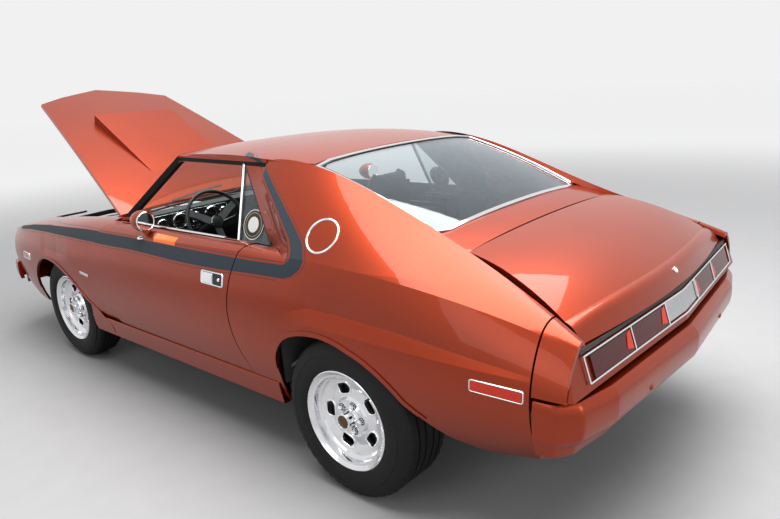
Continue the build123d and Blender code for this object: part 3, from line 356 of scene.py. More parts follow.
# %% Two-sided floor and bulkhead
def two_sided(name, inside, outside, split, sill=None):
    """One colour where split(place, normal) is 1, the other where it is 0, and body paint where sill is 1."""
    finish = Finish(name, inside, .9)
    _, axes = finish.axes()
    _, facing = finish.axes("Normal")
    mask = split(axes, facing)
    fine = finish.noise(900, 4)
    wide = finish.noise(25, 3)
    inner = finish.mix(fine, tuple(c * .5 for c in inside), tuple(c * 1.3 for c in inside))
    outer = finish.mix(wide, tuple(c * .8 for c in outside), tuple(c * 1.15 for c in outside))
    stones = finish.mix(fine, (.13, .128, .12), (.30, .295, .28))
    between = axes[1].step(.84, .86) * (1 - axes[1].step(1.62, 1.64))
    arch = between * axes[2].step(.30, .34) * abs(axes[0]).step(.55, .57)
    outer = finish.mix(arch, outer, stones)
    colour = finish.mix(mask, outer, inner)
    rough = mask * .5 + .42 + wide * .06
    if sill:
        painted = sill(axes, facing)
        colour = finish.mix(painted, colour, PAINT_COLOURS[0])
        rough = rough * (1 - painted) + painted * .32
        finish.feed("Metallic", painted * .6)
        finish.feed("Coat Weight", painted)
    finish.feed("Base Color", colour)
    finish.feed("Roughness", rough)
    finish.bump(fine * mask, .5, .0008)
    return finish.material


FLOOR = two_sided("carpet_and_undercoat", (.016, .016, .017), (.075, .070, .066),
                  lambda at, way: way[2].step(.3, .6) * at[2].step(.28, .281),
                  lambda at, way: abs(at[0]).step(.800, .805) * (1 - at[2].step(.380, .385)) * abs(way[0]).step(.3, .5))
BULKHEAD = two_sided("bulkhead_paint", (.014, .014, .015), (.34, .085, .032),
                     lambda at, way: way[1].step(.3, .6))


def clad(material, *names):
    """Gives these CAD nodes this material."""
    for name in names:
        for slot in nodes[name].material_slots:
            slot.material = material
    print(material.name, "on", len(names), "nodes")


clad(STRIPED_PAINT, "fender_left", "fender_right", "door_left", "door_right", "quarter_left", "quarter_right", "roof")
clad(PAINT, "hood", "trunk_lid", "deck_panel", "tail_panel", "rear_bumper", "front_bumper", "nose_panel",
     "mirror_left", "mirror_right")
clad(FLOOR, "floor_pan")
clad(BULKHEAD, "firewall")
clad(STEEL, "front_structure", "front_suspension", "rear_axle", "knuckle_left", "knuckle_right", "fuel_tank")
clad(IRON, "engine")
clad(BARE, "radiator")
clad(PIPE, "exhaust")
clad(PLASTIC, "grille", "dashboard", "console", "steering_wheel")
clad(VINYL, "seats")
clad(GLASS, "windshield", "rear_window", "quarter_glass")
clad(LAMP_GLASS, "headlamps")
clad(LENS_DARK, "tail_lamps")
WHEELS = ("front_left", "front_right", "rear_left", "rear_right")
clad(ALLOY, *["wheel_" + w for w in WHEELS])
clad(RUBBER, *["tyre_" + w for w in WHEELS])

# %% [markdown]
# ## Tools for fitted pieces
# A fitter lays a trim on the panel and it takes the panel's shape. Here a ray finds the panel under each point of the
# trim, so that beads, rings and frames lie on the metal exactly. A piece is then swept, turned or extruded from
# plain rings of points, with a material for each of its parts.

# %% Finding the metal
SIDES = (("left", 1), ("right", -1))
DOWN, FORWARD = Vector((0, 0, -1)), Vector((0, -1, 0))


def skin(*names):
    """Search tree over the faces of these CAD nodes."""
    points, faces = [], []
    for name in names:
        start = len(points)
        points += [v.co.copy() for v in nodes[name].data.vertices]
        faces += [[start + i for i in p.vertices] for p in nodes[name].data.polygons]
    return BVHTree.FromPolygons(points, faces)


def touch(tree, start, way):
    """Point and outward normal where a ray first meets the skin."""
    point, normal, _, _ = tree.ray_cast(Vector(start), Vector(way))
    if point is None:
        raise ValueError(f"nothing under {tuple(start)}")
    return point, (-normal if normal.dot(Vector(way)) > 0 else normal)


def laid(tree, starts, way, lift=0.0):
    """Points on the skin under each start, lifted off it, and the normals there."""
    found = [touch(tree, start, way) for start in starts]
    return [point + normal * lift for point, normal in found], [normal for _, normal in found]


def last_inside(tree, inside, outside):
    """Last point on the line from inside to outside that still has the skin under it."""
    low, high = Vector(inside), Vector(outside)
    for _ in range(20):
        middle = (low + high) / 2
        if tree.ray_cast(middle, DOWN)[0] is None:
            high = middle
        else:
            low = middle
    return low


# %% Lines and sections
def spread(half, count, clear=.004):
    """Places from -half to half that stay clear of the seam in the middle of the mesh."""
    steps = [half * (2 * k / (count - 1) - 1) for k in range(count)]
    return [x if abs(x) > clear else clear for x in steps]


def along(points, count):
    """That many evenly spaced points on the line through the given points."""
    points = [Vector(p) for p in points]
    lengths = [(b - a).length for a, b in zip(points, points[1:])]
    spaced = []
    for k in range(count):
        left = sum(lengths) * k / (count - 1)
        i = 0
        while i < len(lengths) - 1 and left > lengths[i]:
            left -= lengths[i]
            i += 1
        spaced.append(points[i].lerp(points[i + 1], min(1, left / max(lengths[i], 1e-9))))
    return spaced


def circle(radius, count):
    """Points of a circle about the origin, as (u, v)."""
    turns = [2 * math.pi * k / count for k in range(count)]
    return [(math.cos(a) * radius, math.sin(a) * radius) for a in turns]


def bead(width, height, steps=6):
    """Half-round section of a trim, flat side down."""
    return [(-math.cos(math.pi * i / steps) * width / 2, math.sin(math.pi * i / steps) * height)
            for i in range(steps + 1)]


def ribbon(width, height, edge=.3):
    """Flat section with chamfered edges."""
    e = min(width, height) * edge
    half = [(width / 2 - e, height), (width / 2, height - e), (width / 2, 0)]
    return [(-u, v) for u, v in reversed(half)] + half


def rounded(width, height, corner, steps=5):
    """Outline of a rounded rectangle about its middle."""
    points = []
    for cx, cy, turn in ((1, 1, 0), (-1, 1, 90), (-1, -1, 180), (1, -1, 270)):
        for i in range(steps + 1):
            a = math.radians(turn + 90 * i / steps)
            points.append((cx * (width / 2 - corner) + corner * math.cos(a),
                           cy * (height / 2 - corner) + corner * math.sin(a)))
    return points


# %% Making a piece
class Piece:
    """Faces from rings of points, each part with its own material."""

    def __init__(self, name):
        self.name = name
        self.mesh = bmesh.new()
        self.materials = []

    def rings(self, rings, material, wrap=True, closed=False):
        """Quads between rings; wrap joins each ring's ends, closed joins the last ring to the first."""
        grid = [[self.mesh.verts.new(p) for p in ring] for ring in rings]
        made = []
        for low, high in list(zip(grid, grid[1:])) + ([(grid[-1], grid[0])] if closed else []):
            count = len(low)
            for i in range(count if wrap else count - 1):
                j = (i + 1) % count
                made.append(self.mesh.faces.new((low[i], low[j], high[j], high[i])))
        if wrap and not closed:
            made += [self.mesh.faces.new(list(reversed(grid[0]))), self.mesh.faces.new(grid[-1])]
        if material not in self.materials:
            self.materials.append(material)
        for face in made:
            face.material_index = self.materials.index(material)

    def sweep(self, path, normals, section, material, closed=False):
        """The section drawn along a path, its height towards the normal, or the normal at each point."""
        normals = [normals] * len(path) if isinstance(normals, Vector) else normals
        rings = []
        count = len(path)
        for i, p in enumerate(path):
            before = path[i - 1] if i or closed else p
            after = path[(i + 1) % count] if i < count - 1 or closed else p
            run = (after - before).normalized()
            up = (normals[i] - run * normals[i].dot(run)).normalized()
            across = run.cross(up)
            rings.append([p + across * u + up * v for u, v in section])
        self.rings(rings, material, closed=closed)

    def tube(self, path, radius, material, sides=10):
        """Round hose or rod along a path."""
        path = [Vector(p) for p in path]
        up = (path[1] - path[0]).normalized().orthogonal().normalized()
        ups = []
        for i in range(len(path)):
            run = (path[min(i + 1, len(path) - 1)] - path[max(i - 1, 0)]).normalized()
            up = (up - run * up.dot(run)).normalized()
            ups.append(up.copy())
        self.sweep(path, ups, circle(radius, sides), material)

    def lathe(self, centre, axis, profile, material, steps=40, closed=False):
        """Turns (radius, distance along the axis) points about the axis."""
        axis = Vector(axis).normalized()
        side = axis.orthogonal().normalized()
        other = axis.cross(side)
        ways = [side * u + other * v for u, v in circle(1, steps)]
        self.rings([[Vector(centre) + out * r + axis * h for r, h in profile] for out in ways], material,
                   wrap=closed, closed=True)

    def slab(self, outline, depth, material):
        """Flat outline pushed along a vector."""
        outline = [Vector(p) for p in outline]
        self.rings([outline, [p + Vector(depth) for p in outline]], material)

    def block(self, low, high, material):
        """Box between two corners."""
        self.rings([[Vector((x, y, z)) for x, y in ((low[0], low[1]), (high[0], low[1]), (high[0], high[1]),
                                                    (low[0], high[1]))] for z in (low[2], high[2])], material)

    def flip(self, hand):
        """Moves the piece to the car's right side if hand is -1."""
        for v in self.mesh.verts:
            v.co.x *= hand

    def done(self, body, slot=None, bevel=0.0, smooth=35, replaces=None):
        """Makes the object, rounds its edges, lets it ride on a body and hides a CAD node that it replaces."""
        bmesh.ops.recalc_face_normals(self.mesh, faces=self.mesh.faces[:])
        data = bpy.data.meshes.new(self.name)
        self.mesh.to_mesh(data)
        self.mesh.free()
        for material in self.materials:
            data.materials.append(material)
        data.polygons.foreach_set("use_smooth", [True] * len(data.polygons))
        data.set_sharp_from_angle(angle=math.radians(smooth))
        obj = link(self.name, data)
        if bevel:
            rounding = obj.modifiers.new("rounding", "BEVEL")
            rounding.width = bevel
            rounding.segments = 2
            rounding.limit_method = "ANGLE"
            rounding.harden_normals = True
        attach(obj, body)
        if replaces:
            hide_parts(replaces)
        print(self.name, len(data.polygons), "faces on", body)
        return obj

# %% [markdown]
# ## Window reveals
# Behind each side window the body folds in: a flat ledge carries on from the top of the door, and a slanted facet
# runs from the glass out to the rising leg of the stripe. A panel beater would press this in one piece with the
# quarter. Here the quarter is cut along that fold line and the ledge and the facet are laid in, and the paint of the
# old skin is kept by taking its normals over.

# %% Fold line as (z, y), and section of the ledge as (x, z, front end)
FOLD = ((.925, .930), (.936, .941), (.950, .944), (.976, .933), (1.008, .904), (1.059, .834), (1.130, .734),
        (1.196, .633))
LEDGE = ((.742, .920, .636), (.762, .944, .640), (.790, .951, .651), (.812, .950, .649), (.834, .943, .644),
         (.850, .934, .641), (.8575, .925, .636))
LEDGE_SHARES = [(x - LEDGE[0][0]) / (LEDGE[-1][0] - LEDGE[0][0]) for x, _, _ in LEDGE]
FACET_HEIGHTS = (.925, .936, .950, .976, 1.008, 1.035, 1.059, 1.095, 1.130, 1.165, 1.196, 1.232, 1.257)
LEAN = Vector((.933, 0, .359)).normalized()
UP_PANE = Vector((-.359, 0, .933)).normalized()


def fold_y(z):
    """Place of the fold line at height z."""
    for (low, a), (high, b) in zip(FOLD, FOLD[1:]):
        if low <= z <= high:
            return a + (b - a) * (z - low) / (high - low)
    return 0.0


def on_pane(y, rise, out=0.0):
    """Point of the quarter pane from its y and the distance up the leaning glass."""
    return Vector((.738, y, .915)) + UP_PANE * rise + LEAN * out


def back_of_pane(t, out):
    """Rear edge of the quarter window, t from its foot to the roof rail."""
    return on_pane(.728 - .283 * t, .006 + .360 * t, out)


# %% Quarter panels with the window opening cut back to the fold line
for side, hand in SIDES:
    source = nodes["quarter_" + side].data.copy()
    normals = [0.0] * (3 * len(source.loops))
    source.corner_normals.foreach_get("vector", normals)
    source.attributes.new("skin_normal", "FLOAT_VECTOR", "CORNER").data.foreach_set("vector", normals)
    shell = bmesh.new()
    shell.from_mesh(source)
    cuts = [(Vector((0, 0, z)), Vector((0, 0, 1))) for z in (FOLD[0][0], FOLD[-1][0])]
    for (z0, y0), (z1, y1) in zip(FOLD, FOLD[1:]):
        cuts.append((Vector((0, y0, z0)), Vector((0, z1 - z0, y0 - y1))))
    for place, way in cuts:
        near = [f for f in shell.faces if f.calc_center_median().z > .80 and f.calc_center_median().y < 1.4]
        edges = {e for f in near for e in f.edges}
        verts = {v for f in near for v in f.verts}
        bmesh.ops.bisect_plane(shell, geom=near + list(edges) + list(verts), plane_co=place, plane_no=way)
    gone = [f for f in shell.faces if f.calc_center_median().y < fold_y(f.calc_center_median().z)
            and f.calc_center_median().x * hand > .55]
    bmesh.ops.delete(shell, geom=gone, context="FACES")
    data = bpy.data.meshes.new("quarter_panel_" + side)
    shell.to_mesh(data)
    shell.free()
    data.materials.append(STRIPED_PAINT)
    panel = link("quarter_panel_" + side, data)
    data.polygons.foreach_set("use_smooth", [True] * len(data.polygons))
    data.normals_split_custom_set([corner.vector for corner in data.attributes["skin_normal"].data])
    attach(panel, "chassis")
    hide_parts("quarter_" + side)
    print(panel.name, len(data.polygons), "faces,", len(gone), "cut away")

# %% Ledges and facets
left_quarter = skin("quarter_left")
for side, hand in SIDES:
    reveal = Piece("window_reveal_" + side)
    rows = []
    for k in range(8):
        ends = [.728 + s * (FOLD[0][1] - .728) for s in LEDGE_SHARES]
        rows.append([Vector((x, front + (end - front) * (k / 7), z)) for (x, z, front), end in zip(LEDGE, ends)])
    reveal.rings(rows, STRIPED_PAINT, wrap=False)
    facet = []
    for z in FACET_HEIGHTS:
        t = (z - FACET_HEIGHTS[0]) / (FACET_HEIGHTS[-1] - FACET_HEIGHTS[0])
        inner = back_of_pane(t, .010)
        if z > 1.2:
            outer = Vector((.639, .588, z)) if z < 1.24 else Vector((.612, .560, z))
        else:
            outer, _ = touch(left_quarter, (1.4, fold_y(z) + .002, z), (-1, 0, 0))
        row = []
        for s, corner in zip(LEDGE_SHARES, rows[-1]):
            hollow = .016 * math.sin(math.pi * s) * math.sin(math.pi * min(1, t * 1.2 + .05))
            row.append((inner.lerp(outer, s) - Vector((.5, -.5, 0)) * hollow).lerp(corner, max(0, 1 - t * 7) ** 2))
        facet.append(row)
    reveal.rings(facet, STRIPED_PAINT, wrap=False)
    stops = (0, .25, .5, .75, 1)
    reveal.rings([[back_of_pane(t, 0) - Vector((0, .010, 0)) for t in stops], [back_of_pane(t, .010) for t in stops]],
                 STRIPED_PAINT, wrap=False)
    reveal.flip(hand)
    reveal.done("chassis", "body_paint", smooth=28)

# %% [markdown]
# ## Sills
# Below the doors a rolled sill runs from wheel to wheel, painted with the body. It hides the joint of floor and outer
# panels, and its lower flange is turned under. Its front end carries the lower rear corner of the wing.

# %% Sill covers
SILL = ((.866, .372), (.8695, .366), (.8665, .350), (.860, .316), (.8545, .290), (.8515, .2690), (.845, .2635),
        (.800, .2630), (.800, .2660), (.842, .2665), (.849, .292), (.853, .318), (.862, .352))
WING_CORNER = ((.290, .858, -.860, -.640), (.320, .863, -.858, -.640), (.352, .868, -.854, -.660),
               (.380, .871, -.848, -.720), (.410, .8735, -.842, -.762), (.440, .8785, -.838, -.800),
               (.466, .884, -.836, -.820))
for side, hand in SIDES:
    sill = Piece("sill_cover_" + side)
    sill.rings([[Vector((x * hand, y, z)) for x, z in SILL]
                for y in (-.858, -.80, -.60, -.20, .20, .60, .80, .826)], PAINT)
    rows = []
    for z, x, front, rear in WING_CORNER:
        face = [Vector((x * hand, front + (rear - front) * k / 6, z)) for k in range(7)]
        rows.append(face + [p - Vector((.004 * hand, 0, 0)) for p in reversed(face)])
    sill.rings(rows, PAINT)
    sill.done("chassis", "body_paint", smooth=40)

# %% [markdown]
# ## Bright trims on the shell
# Stainless beads finish the edges where paint meets glass: the sill under the side windows, the bar between door and
# quarter windows, and the wide frame of the rear window. On the real car they are rolled strip clipped to the flange.
# A half-round or ribbon section swept along the edge does the same, with a black rubber lip inside it. The foot of
# the windscreen has only a rubber seal.

# %% Window sill beads
for side, hand in SIDES:
    starts = [(.772 * hand, y, 1.4) for y in [-.56 + .05 * i for i in range(20)] + [.437]]
    path, ups = laid(skin("door_" + side), starts, DOWN)
    path = [p + Vector((0, 0, .0005)) for p in path]
    strip = Piece("sill_bead_" + side)
    strip.sweep(path, ups, bead(.013, .006), CHROME)
    strip.sweep([p + Vector((-.009 * hand, 0, -.002)) for p in path], -DOWN, bead(.008, .006), SEAL)
    strip.done(side + "_door")

# %% Rear window frame
pane = skin("rear_window")
TOP_Y, LOW_Y = .852, 1.494
flank = [(last_inside(pane, (.3, y, 2), (.7, y, 2)).x - .004, y)
         for y in (LOW_Y - .02, 1.42, 1.34, 1.26, 1.18, 1.10, 1.02, .94, TOP_Y + .02)]
flank += [(x, TOP_Y + .002 * abs(x)) for x in (.48, .36, .24, .12)]
outline = flank + [(0, TOP_Y)] + [(-x, y) for x, y in reversed(flank)]
outline += [(x, LOW_Y + .004) for x in (-.50, -.38, -.25, -.12, 0, .12, .25, .38, .50)]
points, ups = laid(pane, [(x * .985, y, 2) for x, y in outline], DOWN)
path = [Vector((x, y, p.z)) for (x, y), p in zip(outline, points)]
inner = [p.lerp(Vector((0, 1.17, p.z)), .022) for p in path]
window_frame = Piece("rear_window_frame")
for line, width, height, material in ((path, .017, .008, CHROME), (inner, .012, .004, SEAL)):
    window_frame.sweep(line, ups, [(u, v - .001) for u, v in ribbon(width, height)], material, closed=True)
window_frame.done("chassis")

# %% Windscreen seal
screen = skin("windshield")
feet = [last_inside(screen, (.054 * (k - 12), -.45, 2), (.054 * (k - 12), -.75, 2)) for k in range(25)]
path, ups = laid(screen, [foot + Vector((0, .004, 0)) for foot in feet], DOWN)
seal = Piece("windscreen_lower_seal")
seal.sweep(path, ups, [(u, v - .001) for u, v in ribbon(.016, .006)], SEAL)
seal.done("chassis")

# %% [markdown]
# ## Quarter windows
# The fixed pane sits in a bright edge: an upright bar in front, where the door glass closes against it, and a bead
# along the bottom. A round sticker sits low on the pane, here a plain white disc in a dark ring with a dull gold
# line and a thin bright border.

# %% Quarter panes
panes = Piece("quarter_window_panes")
for _, hand in SIDES:
    corners = [on_pane(.478, 0), on_pane(.735, 0), on_pane(.735, .006), on_pane(.448, .368), on_pane(.418, .372)]
    panes.slab([Vector((p.x * hand, p.y, p.z)) for p in corners],
               Vector((-LEAN.x * .004 * hand, 0, -LEAN.z * .004)), GLASS)
panes.done("chassis", "window_glass", replaces="quarter_glass")

# %% Quarter window bar, bead and disc
STICKER = ((.069, .0002, CHROME), (.0655, .0006, SEAL), (.056, .0009, GOLD), (.052, .0012, SEAL), (.036, .0015, WHITE))
for side, hand in SIDES:
    bar = Piece("quarter_window_bar_" + side)
    run = along([on_pane(.482, -.002), on_pane(.418, .372)], 9)
    bar.sweep(run, LEAN, bead(.014, .009), CHROME)
    bar.sweep([p + Vector((0, .012, 0)) for p in run], LEAN, bead(.008, .004), SEAL)
    bar.sweep(along([on_pane(.478, .002), on_pane(.736, .002)], 7), LEAN, bead(.014, .008), CHROME)
    ends = [back_of_pane(t, .001) - Vector((0, .012, 0)) for t in (.01, .99)]
    bar.sweep(along(ends, 7), LEAN, bead(.010, .004), SEAL)
    for radius, lift, material in STICKER:
        ring = [on_pane(.562, .102, .0012) + Vector((0, 1, 0)) * u + UP_PANE * v for u, v in circle(radius, 48)]
        bar.slab(ring, LEAN * (.0004 + lift), material)
    catch = on_pane(.432, .352, .004)
    bar.slab([catch + Vector((0, u, 0)) + UP_PANE * v for u, v in rounded(.040, .034, .008)], LEAN * -.016, SEAL)
    bar.flip(hand)
    bar.done("chassis")

# %% [markdown]
# ## Ring, handles and markers on the side
# A plain bright ring about 150 mm across lies on the curved sail behind each quarter window. The door handle is a
# flush paddle in a bright frame: the front half is polished, the rear half a flat black sheet that is painted shade
# for the finger well. The rear marker is a long red lens in a bright frame, and the front one an amber lens beside
# the nose.


# %% Framed plates on the body side
def side_axes(tree, hand, y, z):
    """Point of the side at (y, z), its outward normal and the way to the tail along it."""
    centre, out = touch(tree, (1.4 * hand, y, z), (-hand, 0, 0))
    return centre, out, (Vector((0, 1, 0)) - out * out.y).normalized()


def framed(piece, tree, hand, y, z, width, height, frame_width, parts):
    """Bright frame at (y, z) on the side, with parts given as (from, to, depth, material) along its width."""
    centre, out, back = side_axes(tree, hand, y, z)
    up = out.cross(back) * hand
    starts = [centre + back * u + up * v + out * .05 for u, v in rounded(width, height, height * .16, 3)]
    path, ups = laid(tree, starts, -out)
    piece.sweep(path, ups, bead(frame_width, .006), CHROME, closed=True)
    for start, end, lift, material in parts:
        quad = [centre + back * (u * (width - frame_width)) + up * (v * (height - frame_width))
                for u, v in ((start, -.5), (end, -.5), (end, .5), (start, .5))]
        piece.slab(quad, out * lift, material)
    return centre, out, back, up


for side, hand in SIDES:
    quarter = skin("quarter_" + side)
    centre, out, back = side_axes(quarter, hand, 1.085, 1.033)
    starts = [centre + back * u + out.cross(back) * v + out * .05 for u, v in circle(.074, 48)]
    ring = Piece("sail_ring_" + side)
    ring.sweep(*laid(quarter, starts, -out), bead(.010, .005), CHROME, closed=True)
    ring.done("chassis")
    handle = Piece("door_handle_" + side)
    # Painted shade: the black sheet over the rear half stands for the shadow in the finger well.
    centre, out, back, up = framed(handle, skin("door_" + side), hand, .465, .795, .158, .056, .009, (
        (-.5, .06, .005, CHROME), (.06, .5, .0015, SEAL)))
    handle.sweep([centre + up * v + out * .005 for v in (-.019, .019)], out, bead(.010, .006), CHROME)
    handle.lathe(centre + back * .052 + out * .001, out, ((0, .005), (.007, .005), (.0085, .003), (.0085, 0)),
                 CHROME, 20)
    handle.done(side + "_door", bevel=.0006)
    for name, tree, y, z, width, height, lens in (
            ("rear_marker_", quarter, 1.929, .650, .186, .038, LENS_RED),
            ("front_marker_", skin("fender_" + side), -1.705, .613, .128, .040, LENS_AMBER)):
        marker = Piece(name + side)
        framed(marker, tree, hand, y, z, width, height, .007, ((-.5, .5, .005, lens),))
        marker.done("chassis", bevel=.0006)

# %% [markdown]
# ## Tail
# Five bays sit in one bright frame under the lip of the lid: two red lamps a side and a blank silver bay in the
# middle. A black strip under the lid is painted shade for the dark gap below its lip. Each lamp is a dark lens with
# a brighter facet at its inner end, where its reflector is.

# %% Tail frame
FRAME_HEIGHTS = (.766, .684)
tail = skin("tail_panel", "tail_lamps")
back_panel = skin("tail_panel")
bezel = Piece("tail_frame")
for z in FRAME_HEIGHTS:
    bezel.sweep(*laid(back_panel, [(x, 2.6, z) for x in spread(.756, 41)], FORWARD, .004), ribbon(.0065, .011), CHROME)
for x in (-.752, -.440, -.166, .166, .440, .752):
    (top, low), ups = laid(back_panel, [(x, 2.6, z) for z in FRAME_HEIGHTS], FORWARD)
    bezel.sweep([top + ups[0] * .003, low + ups[0] * .003], ups[0], ribbon(.0055, .011), CHROME)
bezel.done("chassis", bevel=.0005)

# %% Middle bay, black strip of painted shade under the lid, bright inner ends and lock
bay = Piece("tail_middle_bay")
low, high = [laid(back_panel, [(x, 2.6, z) for x in spread(.158, 17, .003)], FORWARD, .0045)[0] for z in (.691, .759)]
thick = Vector((0, .004, 0))
bay.rings([[a, b, b - thick, a - thick] for a, b in zip(low, high)], BARE)
bay.done("chassis", bevel=.0005)
# Painted shade: a black ribbon under the lid's lip stands for the shadow in the gap there.
band = Piece("lid_shade_strip")
band.sweep(*laid(back_panel, [(x, 2.6, .7785) for x in spread(.760, 41)], FORWARD, .001), ribbon(.013, .004), SEAL)
band.done("chassis")
for side, hand in SIDES:
    inner = Piece("lamp_reflector_" + side)
    for start in (.174, .448):
        rows = []
        for low_in, high_in in ((0, 0), (.014, .009), (.028, .018), (.042, .026)):
            (a, b), (u, v) = laid(tail, [((start + low_in) * hand, 2.6, .697 + low_in * .2),
                                         ((start + high_in) * hand, 2.6, .760 - low_in * .25)], FORWARD)
            rows.append([a + u * .0003, b + v * .0003, b + v * .0022, a + u * .0022])
        inner.rings(rows, LENS_RED)
    inner.done("chassis", "red_lens")
lock_at, lock_out = touch(skin("trunk_lid"), (.002, 2.6, .846), FORWARD)
lock = Piece("lid_lock")
lock.lathe(lock_at - lock_out * .001, lock_out, ((0, .003), (.006, .003), (.008, .005), (.011, .006), (.013, .004),
                                                 (.013, 0)), CHROME, 32)
lock.done("boot_lid")
bolts = Piece("bumper_bolts")
for x in (-.40, .40):
    at, out = touch(skin("rear_bumper"), (x, 2.6, .545), FORWARD)
    bolts.lathe(at, out, ((0, .006), (.006, .0055), (.010, .003), (.011, 0)), PAINT, 20)
bolts.done("chassis")

# %% [markdown]
# ## Wheels and tyres
# The wheel is a polished cast alloy with five rounded slots. What the foundry part still lacks is what a machinist and
# a tyre fitter add: rolled bright lips round the slots, five lug nuts, each in a black ring that is painted shade for
# its well, a centre cap that stands proud with a bronze disc in it, and a valve. The tyre is made again from a finer
# profile with ribs on the sidewall and grooves cut down into the tread, so it never grows past the real size, and the
# CAD tyre is hidden behind it.


# %% Bright parts of a wheel
SLOT_CIRCLE, NUT_CIRCLE, VALVE_CIRCLE = .120, .0575, .170


def dress_wheel(name):
    """Slot lips, lug nuts, centre cap and valve of one wheel."""
    low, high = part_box("wheel_" + name)
    middle = (low + high) / 2
    hand = 1 if low.x > 0 else -1
    body = name + "_wheel"
    out = Vector((hand, 0, 0))
    face = skin("wheel_" + name)
    print(name, [round(v, 4) for v in middle])

    def spoke(degrees):
        return Vector((0, math.cos(math.radians(degrees)), math.sin(math.radians(degrees))))

    def on_face(spot):
        return touch(face, Vector((hand * 1.2, spot.y, spot.z)), -out)[0]

    lips = Piece("wheel_lips_" + name)
    for k in range(5):
        way = spoke(180 + 72 * k)
        flank = out.cross(way)
        path = [on_face(middle + way * (SLOT_CIRCLE + u * 1.06) + flank * (v * 1.06))
                for u, v in rounded(.0475, .0655, .020, 6)]
        usual = sorted(p.x * hand for p in path)[len(path) // 2]
        for p in path:
            if abs(p.x * hand - usual) > .02:
                p.x = hand * usual
        lips.sweep(path, out, bead(.009, .0045, 8), CHROME, closed=True)
    lips.done(body, "polished_alloy")
    nuts = Piece("lug_nuts_" + name)
    for k in range(5):
        seat = on_face(middle + spoke(144 + 72 * k) * NUT_CIRCLE)
        # Painted shade: the black ring round each nut stands for the shadow in its well.
        nuts.lathe(seat - out * .002, out, ((.0155, 0), (.0155, .0045), (.0125, .003)), SEAL, 24)
        nuts.slab([seat + spoke(60 * i) * .0105 for i in range(6)], out * .016, CHROME)
        nuts.lathe(seat + out * .016, out, ((0, .005), (.005, .0042), (.0088, 0)), CHROME, 20)
    nuts.done(body, "polished_alloy", bevel=.0008)
    cap = Piece("centre_cap_" + name)
    base = Vector((on_face(middle + Vector((0, 0, .040))).x, middle.y, middle.z))
    for profile, material, steps in (
            (((0, .036), (.0262, .036), (.0272, .0405), (.0300, .0420), (.0325, .0410), (.0335, .037), (.0340, .026),
              (.0360, .012), (.0385, .004), (.0415, .0005), (.0415, -.003)), CHROME, 48),
            (((0, .0392), (.012, .0390), (.021, .0380), (.0268, .0362)), BRONZE, 40),
            (((.0095, .0394), (.0105, .0402), (.0120, .0398), (.0126, .0386)), BRONZE, 32)):
        cap.lathe(base, out, profile, material, steps)
    cap.done(body, "polished_alloy")
    valve = Piece("valve_" + name)
    seat = on_face(middle + Vector((0, .7, .7)).normalized() * VALVE_CIRCLE)
    valve.lathe(seat, out, ((.0055, -.004), (.0055, .004), (.0038, .006), (.0038, .020), (.0048, .021), (.0048, .030),
                            (0, .031)), SEAL, 16)
    valve.done(body)


# %% Tyres with ribs and grooves
RIM, GROOVE_DEPTH, BLOCK_CUT = .205, .0065, .0045
SIDEWALL = ((-.012, .030), (0, .016), (.006, .010), (.014, .0045), (.018, .0045), (.021, .0025), (.034, .0008),
            (.048, .0001), (.066, .0012), (.069, .0032), (.072, .0020), (.084, .0050), (.092, .0085))
SHOULDER = ((.026, .0125), (.015, .0165), (.008, .022), (.003, .029), (.0004, .036))


def build_tyre(name):
    """Tyre with ribs and grooves in place of the plain one."""
    low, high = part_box("tyre_" + name)
    middle = (low + high) / 2
    hand = 1 if low.x > 0 else -1
    radius, half = (high.z - low.z) / 2, (high.x - low.x) / 2
    outer = [(RIM + up, half - inwards) for up, inwards in SIDEWALL]
    outer += [(radius - down, half - inwards) for down, inwards in SHOULDER]
    grooves = ((half - .034) * .66, (half - .034) * .24)
    for g in grooves:
        outer += [(radius, g + .0052), (radius - GROOVE_DEPTH, g + .0044), (radius - GROOVE_DEPTH, g - .0044),
                  (radius, g - .0052)]
    section = outer + [(r, -h) for r, h in reversed(outer)]
    rings = []
    for k, (y, z) in enumerate(circle(1, 150)):
        ring = []
        for r, h in section:
            cut = k % 3 == 0 and abs(h) > grooves[0] + .008 and r > radius - .016
            ring.append(middle + Vector((0, y, z)) * (r - (BLOCK_CUT if cut else 0)) + Vector((h * hand, 0, 0)))
        rings.append(ring)
    tyre = Piece("tyre_tread_" + name)
    tyre.rings(rings, RUBBER, closed=True)
    tyre.done(name + "_wheel", "tyre_rubber", smooth=28, replaces="tyre_" + name)


for name in WHEELS:
    dress_wheel(name)
    build_tyre(name)

# %% [markdown]
# ## Seats
# The buckets are foam under black vinyl. A trimmer sews long channels down the middle of the cushion and the back,
# and stuffs a firm roll along each side. Here each pad starts as a slightly small form with those side rolls, the
# cloth solver blows it up against its own skin, and the channels are pressed in afterwards.

# %% Pad forms
SEAT_LEFT, SEAT_RIGHT = .148, .572
SEAT_MIDDLE = (SEAT_LEFT + SEAT_RIGHT) / 2
CUSHION = ((-.104, .330, .052), (-.108, .400, .064), (-.070, .446, .058), (.060, .440, .058), (.200, .430, .058),
           (.300, .424, .058))
BACK = ((.320, .452, .052), (.352, .560, .056), (.384, .700, .056), (.414, .850, .052), (.436, .960, .046),
        (.452, 1.030, .044), (.474, 1.090, .032))
SIDE_RISE = .030


def pad_ring(centre, thick_way, half, thick):
    """Closed section of a pad: a flat back, a hollow middle and a roll at each side."""
    ring = []
    for u, v in circle(1, 28):
        wide = half * math.copysign(abs(u) ** .45, u)
        deep = thick * math.copysign(abs(v) ** .55, v)
        if v > 0:
            deep += SIDE_RISE * max(0.0, abs(wide / half) - .55) / .45
        ring.append(centre + Vector((wide, 0, 0)) + thick_way * deep)
    return ring


